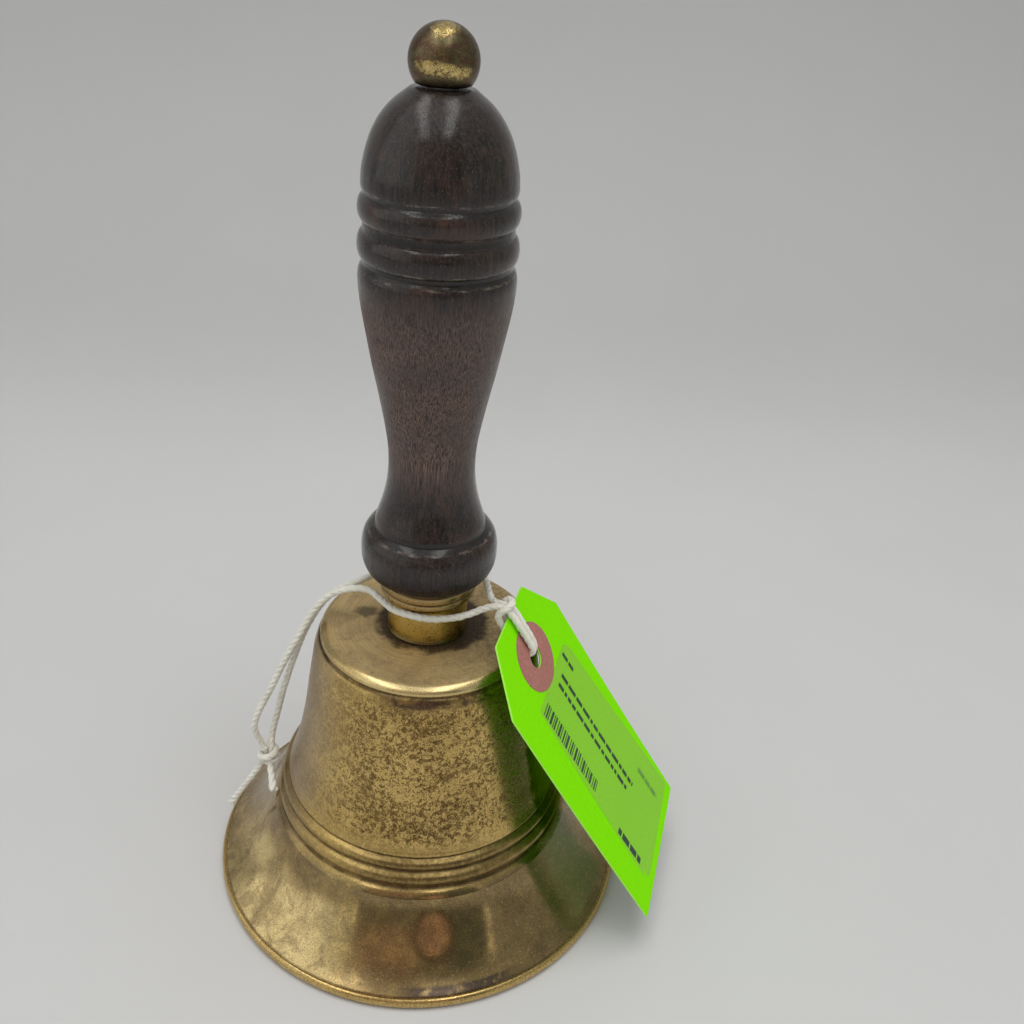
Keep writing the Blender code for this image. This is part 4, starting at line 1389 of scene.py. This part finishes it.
def dashes(across, start, end, width, rnd, gap=0.55):
    """A line of dashes of random length running down the tag."""
    out = []
    while start < end:
        stop = min(start + rnd.uniform(0.9, 3.2), end)
        out.append((across - width / 2, start, across + width / 2, stop))
        start = stop + gap
    return out


dash_rnd = random.Random(5)
print_marks("tag_print_bars", bars(), INK)
dash_boxes = []
for across, start, end, width, gap in ((9.2, 7.6, 12.6, 0.9, 0.55), (4.6, 9.6, 44.0, 0.95, 0.55),
                                       (1.9, 9.6, 42.0, 0.95, 0.55),
                                       (-8.9, 42.8, 53.4, 1.5, 0.5)):
    dash_boxes += dashes(across, start, end, width, dash_rnd, gap)
print_marks("tag_print_dashes", dash_boxes, INK)
print_marks("tag_print_faint", dashes(10.2, 45.0, 54.4, 1.0, dash_rnd), FAINT_INK)


# ============================================================ floor (metres)
def studio_white(colour=(0.575, 0.575, 0.570), mottling=0.35):
    """Faintly mottled white that darkens up the sweep with painted shade."""
    studio = Surface("studio_white")
    cloud = studio.coords.noise(scale=0.012, detail=4, rough=0.6)
    fine = studio.coords.stretch(scale=(0.35, 0.35, 0.35)).noise(
        scale=1.0, detail=4, rough=0.7)
    tone = cloud.step(off=0.3, on=0.7, last=mottling).mix(colour, scaled(colour, 0.94))
    tone = fine.step(off=0.62, on=0.75, last=mottling).mix(tone, scaled(colour, 0.90))
    # painted shade: darker from 0.17 m to 0.29 m behind the bell, up the sweep
    depth = split(studio.value("ShaderNodeTexCoord", output="Object"))[1]
    shade_up_sweep = depth.step(off=0.17, on=0.29, first=1.0, last=0.765)
    shade = studio.value("ShaderNodeMix", {0: 1.0, 6: tone, 7: vector(shade_up_sweep, shade_up_sweep, shade_up_sweep)}, 2,
                         data_type="RGBA", blend_type="MULTIPLY")
    return studio.finish({"Base Color": shade, "Roughness": 0.6, "Specular IOR Level": 0.25})


def studio_sweep(half=1.6, bend_at=0.18, bend=0.17):
    """A floor that curves up into a wall behind the bell."""
    profile = [(-half, 0.0), (-0.6, 0.0), (-0.2, 0.0), (0.0, 0.0), (bend_at, 0.0)]
    for degrees in range(5, 91, 5):
        angle = math.radians(degrees)
        profile.append((bend_at + bend * math.sin(angle), bend - bend * math.cos(angle)))
    profile += [(0.352, 0.4), (0.352, 1.2)]
    bm = bmesh.new()
    rows = [[bm.verts.new((x, y, z)) for x in (-half, half)] for y, z in profile]
    for a, b in zip(rows, rows[1:]):
        bm.faces.new((a[0], a[1], b[1], b[0]))
    return finish_mesh("studio_sweep", bm, [studio_white()], 60, Vector((0, 0, 0)))


studio_sweep()


# ============================================================ light
def overhead_box():
    """A broad soft light over the bell, hidden from reflections."""
    light = bpy.data.lights.new("overhead_box", "AREA")
    light.shape = "RECTANGLE"
    light.size, light.size_y = 0.46, 0.40
    light.energy = 2.1
    light.color = (1, 0.995, 0.985)
    ob = bpy.data.objects.new("overhead_box", light)
    bpy.context.scene.collection.objects.link(ob)
    place, target = Vector((0.01, -0.06, 0.66)), Vector((0, 0, 0.03))
    ob.location = place
    ob.rotation_euler = (target - place).to_track_quat("-Z", "Y").to_euler()
    ob.visible_glossy = False


def surround():
    """A plain surround, seen in reflections as a white box with an open front."""
    world = bpy.data.worlds.new("surround")
    world.use_nodes = True
    bpy.context.scene.world = world
    world.node_tree.nodes.clear()
    graph = Graph(world.node_tree)
    x, y, z = split(graph.value("ShaderNodeTexCoord", output="Generated"))
    # azimuth and elevation in degrees
    azimuth = turn_angle(x, y) * 57.29578
    elevation = calc("ARCSINE", z) * 57.29578
    # walls: bright on the left, duller on the right, pale overhead
    left_wall = azimuth.step(off=-54.0, on=-80.0) * azimuth.step(off=-178.0, on=-150.0)
    env = left_wall.mix((0.38, 0.38, 0.360), (0.70, 0.70, 0.68))
    glow = (azimuth.band(at=-82.0, half=20.0, soft=22.0)
            * elevation.band(at=24.0, half=16.0, soft=22.0))
    env = glow.mix(env, (0.86, 0.86, 0.84))
    green = (azimuth.band(at=118.0, half=24.0, soft=16.0)
             * elevation.band(at=4.0, half=20.0, soft=10.0))
    env = (green * 0.7).mix(env, (0.20, 0.28, 0.14))
    env = elevation.step(off=66.0, on=84.0).mix(env, (0.85, 0.85, 0.84))
    # the dim room seen through the open front, with a person in it
    front = abs(azimuth + 1.5).step(off=47.0, on=35.0)
    front = front * elevation.step(off=80.0, on=70.0)
    env = front.mix(env, (0.265, 0.260, 0.225))
    arm = (azimuth.band(at=-17.0, half=13.0, soft=9.0)
           * elevation.band(at=38.0, half=22.0, soft=12.0))
    env = (arm * 0.90).mix(env, (0.46, 0.365, 0.315))
    dark = (azimuth.band(at=29.0, half=7.0, soft=7.0)
            * elevation.band(at=26.0, half=26.0, soft=10.0))
    env = (dark * 0.85).mix(env, (0.150, 0.168, 0.156))
    # a pinkish oval with a dark fringe
    oval = length((azimuth - 9.0) / 9.5, (elevation - 15.0) / 13.0)
    env = oval.step(off=1.50, on=1.15, last=0.85).mix(env, (0.095, 0.080, 0.070))
    env = oval.step(off=1.12, on=0.84).mix(env, (0.47, 0.340, 0.310))
    # lit edges of the opening: three strips on the left, one on the right
    strips_left = maximum(azimuth.band(at=-45.5, half=0.7, soft=1.2),
                          maximum(azimuth.band(at=-41.5, half=0.6, soft=1.2),
                                  azimuth.band(at=-38.0, half=0.5, soft=1.1)))
    strip_right = azimuth.band(at=41.5, half=0.7, soft=1.4)
    strips = maximum(strips_left, strip_right) * elevation.step(off=60.0, on=50.0)
    env = (strips * 0.9).mix(env, (1.00, 0.98, 0.86))
    # overhead, directions are projected onto a level ceiling: a pale panel, two bright tubes
    rise = maximum(z, 0.05)
    ceiling_x, ceiling_front = x / rise, y * -1.0 / rise
    ceiling = ceiling_front.step(off=0.94, on=0.82) * ceiling_front.step(off=-0.65, on=-0.30)
    ceiling = ceiling * z.step(off=0.40, on=0.55)
    panel = ceiling * ceiling_x.band(at=-0.12, half=0.42, soft=0.14)
    env = panel.mix(env, (0.62, 0.62, 0.61))
    tube_left = (ceiling_x + ceiling_front * 0.17).band(at=-0.450, half=0.085, soft=0.06)
    tube_right = ceiling_x.band(at=0.215, half=0.080, soft=0.06)
    env = (maximum(tube_left, tube_right) * ceiling).mix(env, (3.2, 3.2, 3.15))
    # only reflections see all this; other rays get an even grey
    glossy = graph.value("ShaderNodeLightPath", output="Is Glossy Ray")
    background = graph.value("ShaderNodeBackground", {
        "Color": glossy.mix((0.745, 0.745, 0.74), env), "Strength": 1.0})
    graph.add("ShaderNodeOutputWorld", {0: background})


# ============================================================ camera
def add_camera():
    """In front and above, looking down at the bell with a slight turn and roll."""
    heading, pitch, roll = (math.radians(v) for v in (5.26687, 30.07679, 4.378275))
    forward = Vector((math.sin(heading) * math.cos(pitch),
                      math.cos(heading) * math.cos(pitch), -math.sin(pitch)))
    right = Vector((math.cos(heading), -math.sin(heading), 0))
    up = right.cross(forward)
    camera_x = right * math.cos(roll) + up * math.sin(roll)
    camera_y = -right * math.sin(roll) + up * math.cos(roll)
    camera = bpy.data.cameras.new("camera")
    camera.sensor_width = 36
    camera.lens = 36.37
    camera.shift_x = -0.0009765625
    camera.clip_start = 0.01
    ob = bpy.data.objects.new("camera", camera)
    bpy.context.scene.collection.objects.link(ob)
    matrix = Matrix((camera_x, camera_y, -forward)).transposed().to_4x4()
    matrix.translation = Vector((AXIS_X, -0.176297, 0.193150))
    ob.matrix_world = matrix
    bpy.context.scene.camera = ob


overhead_box()
surround()
add_camera()
bpy.context.scene.view_settings.view_transform = "Standard"
bpy.context.scene.view_settings.look = "None"
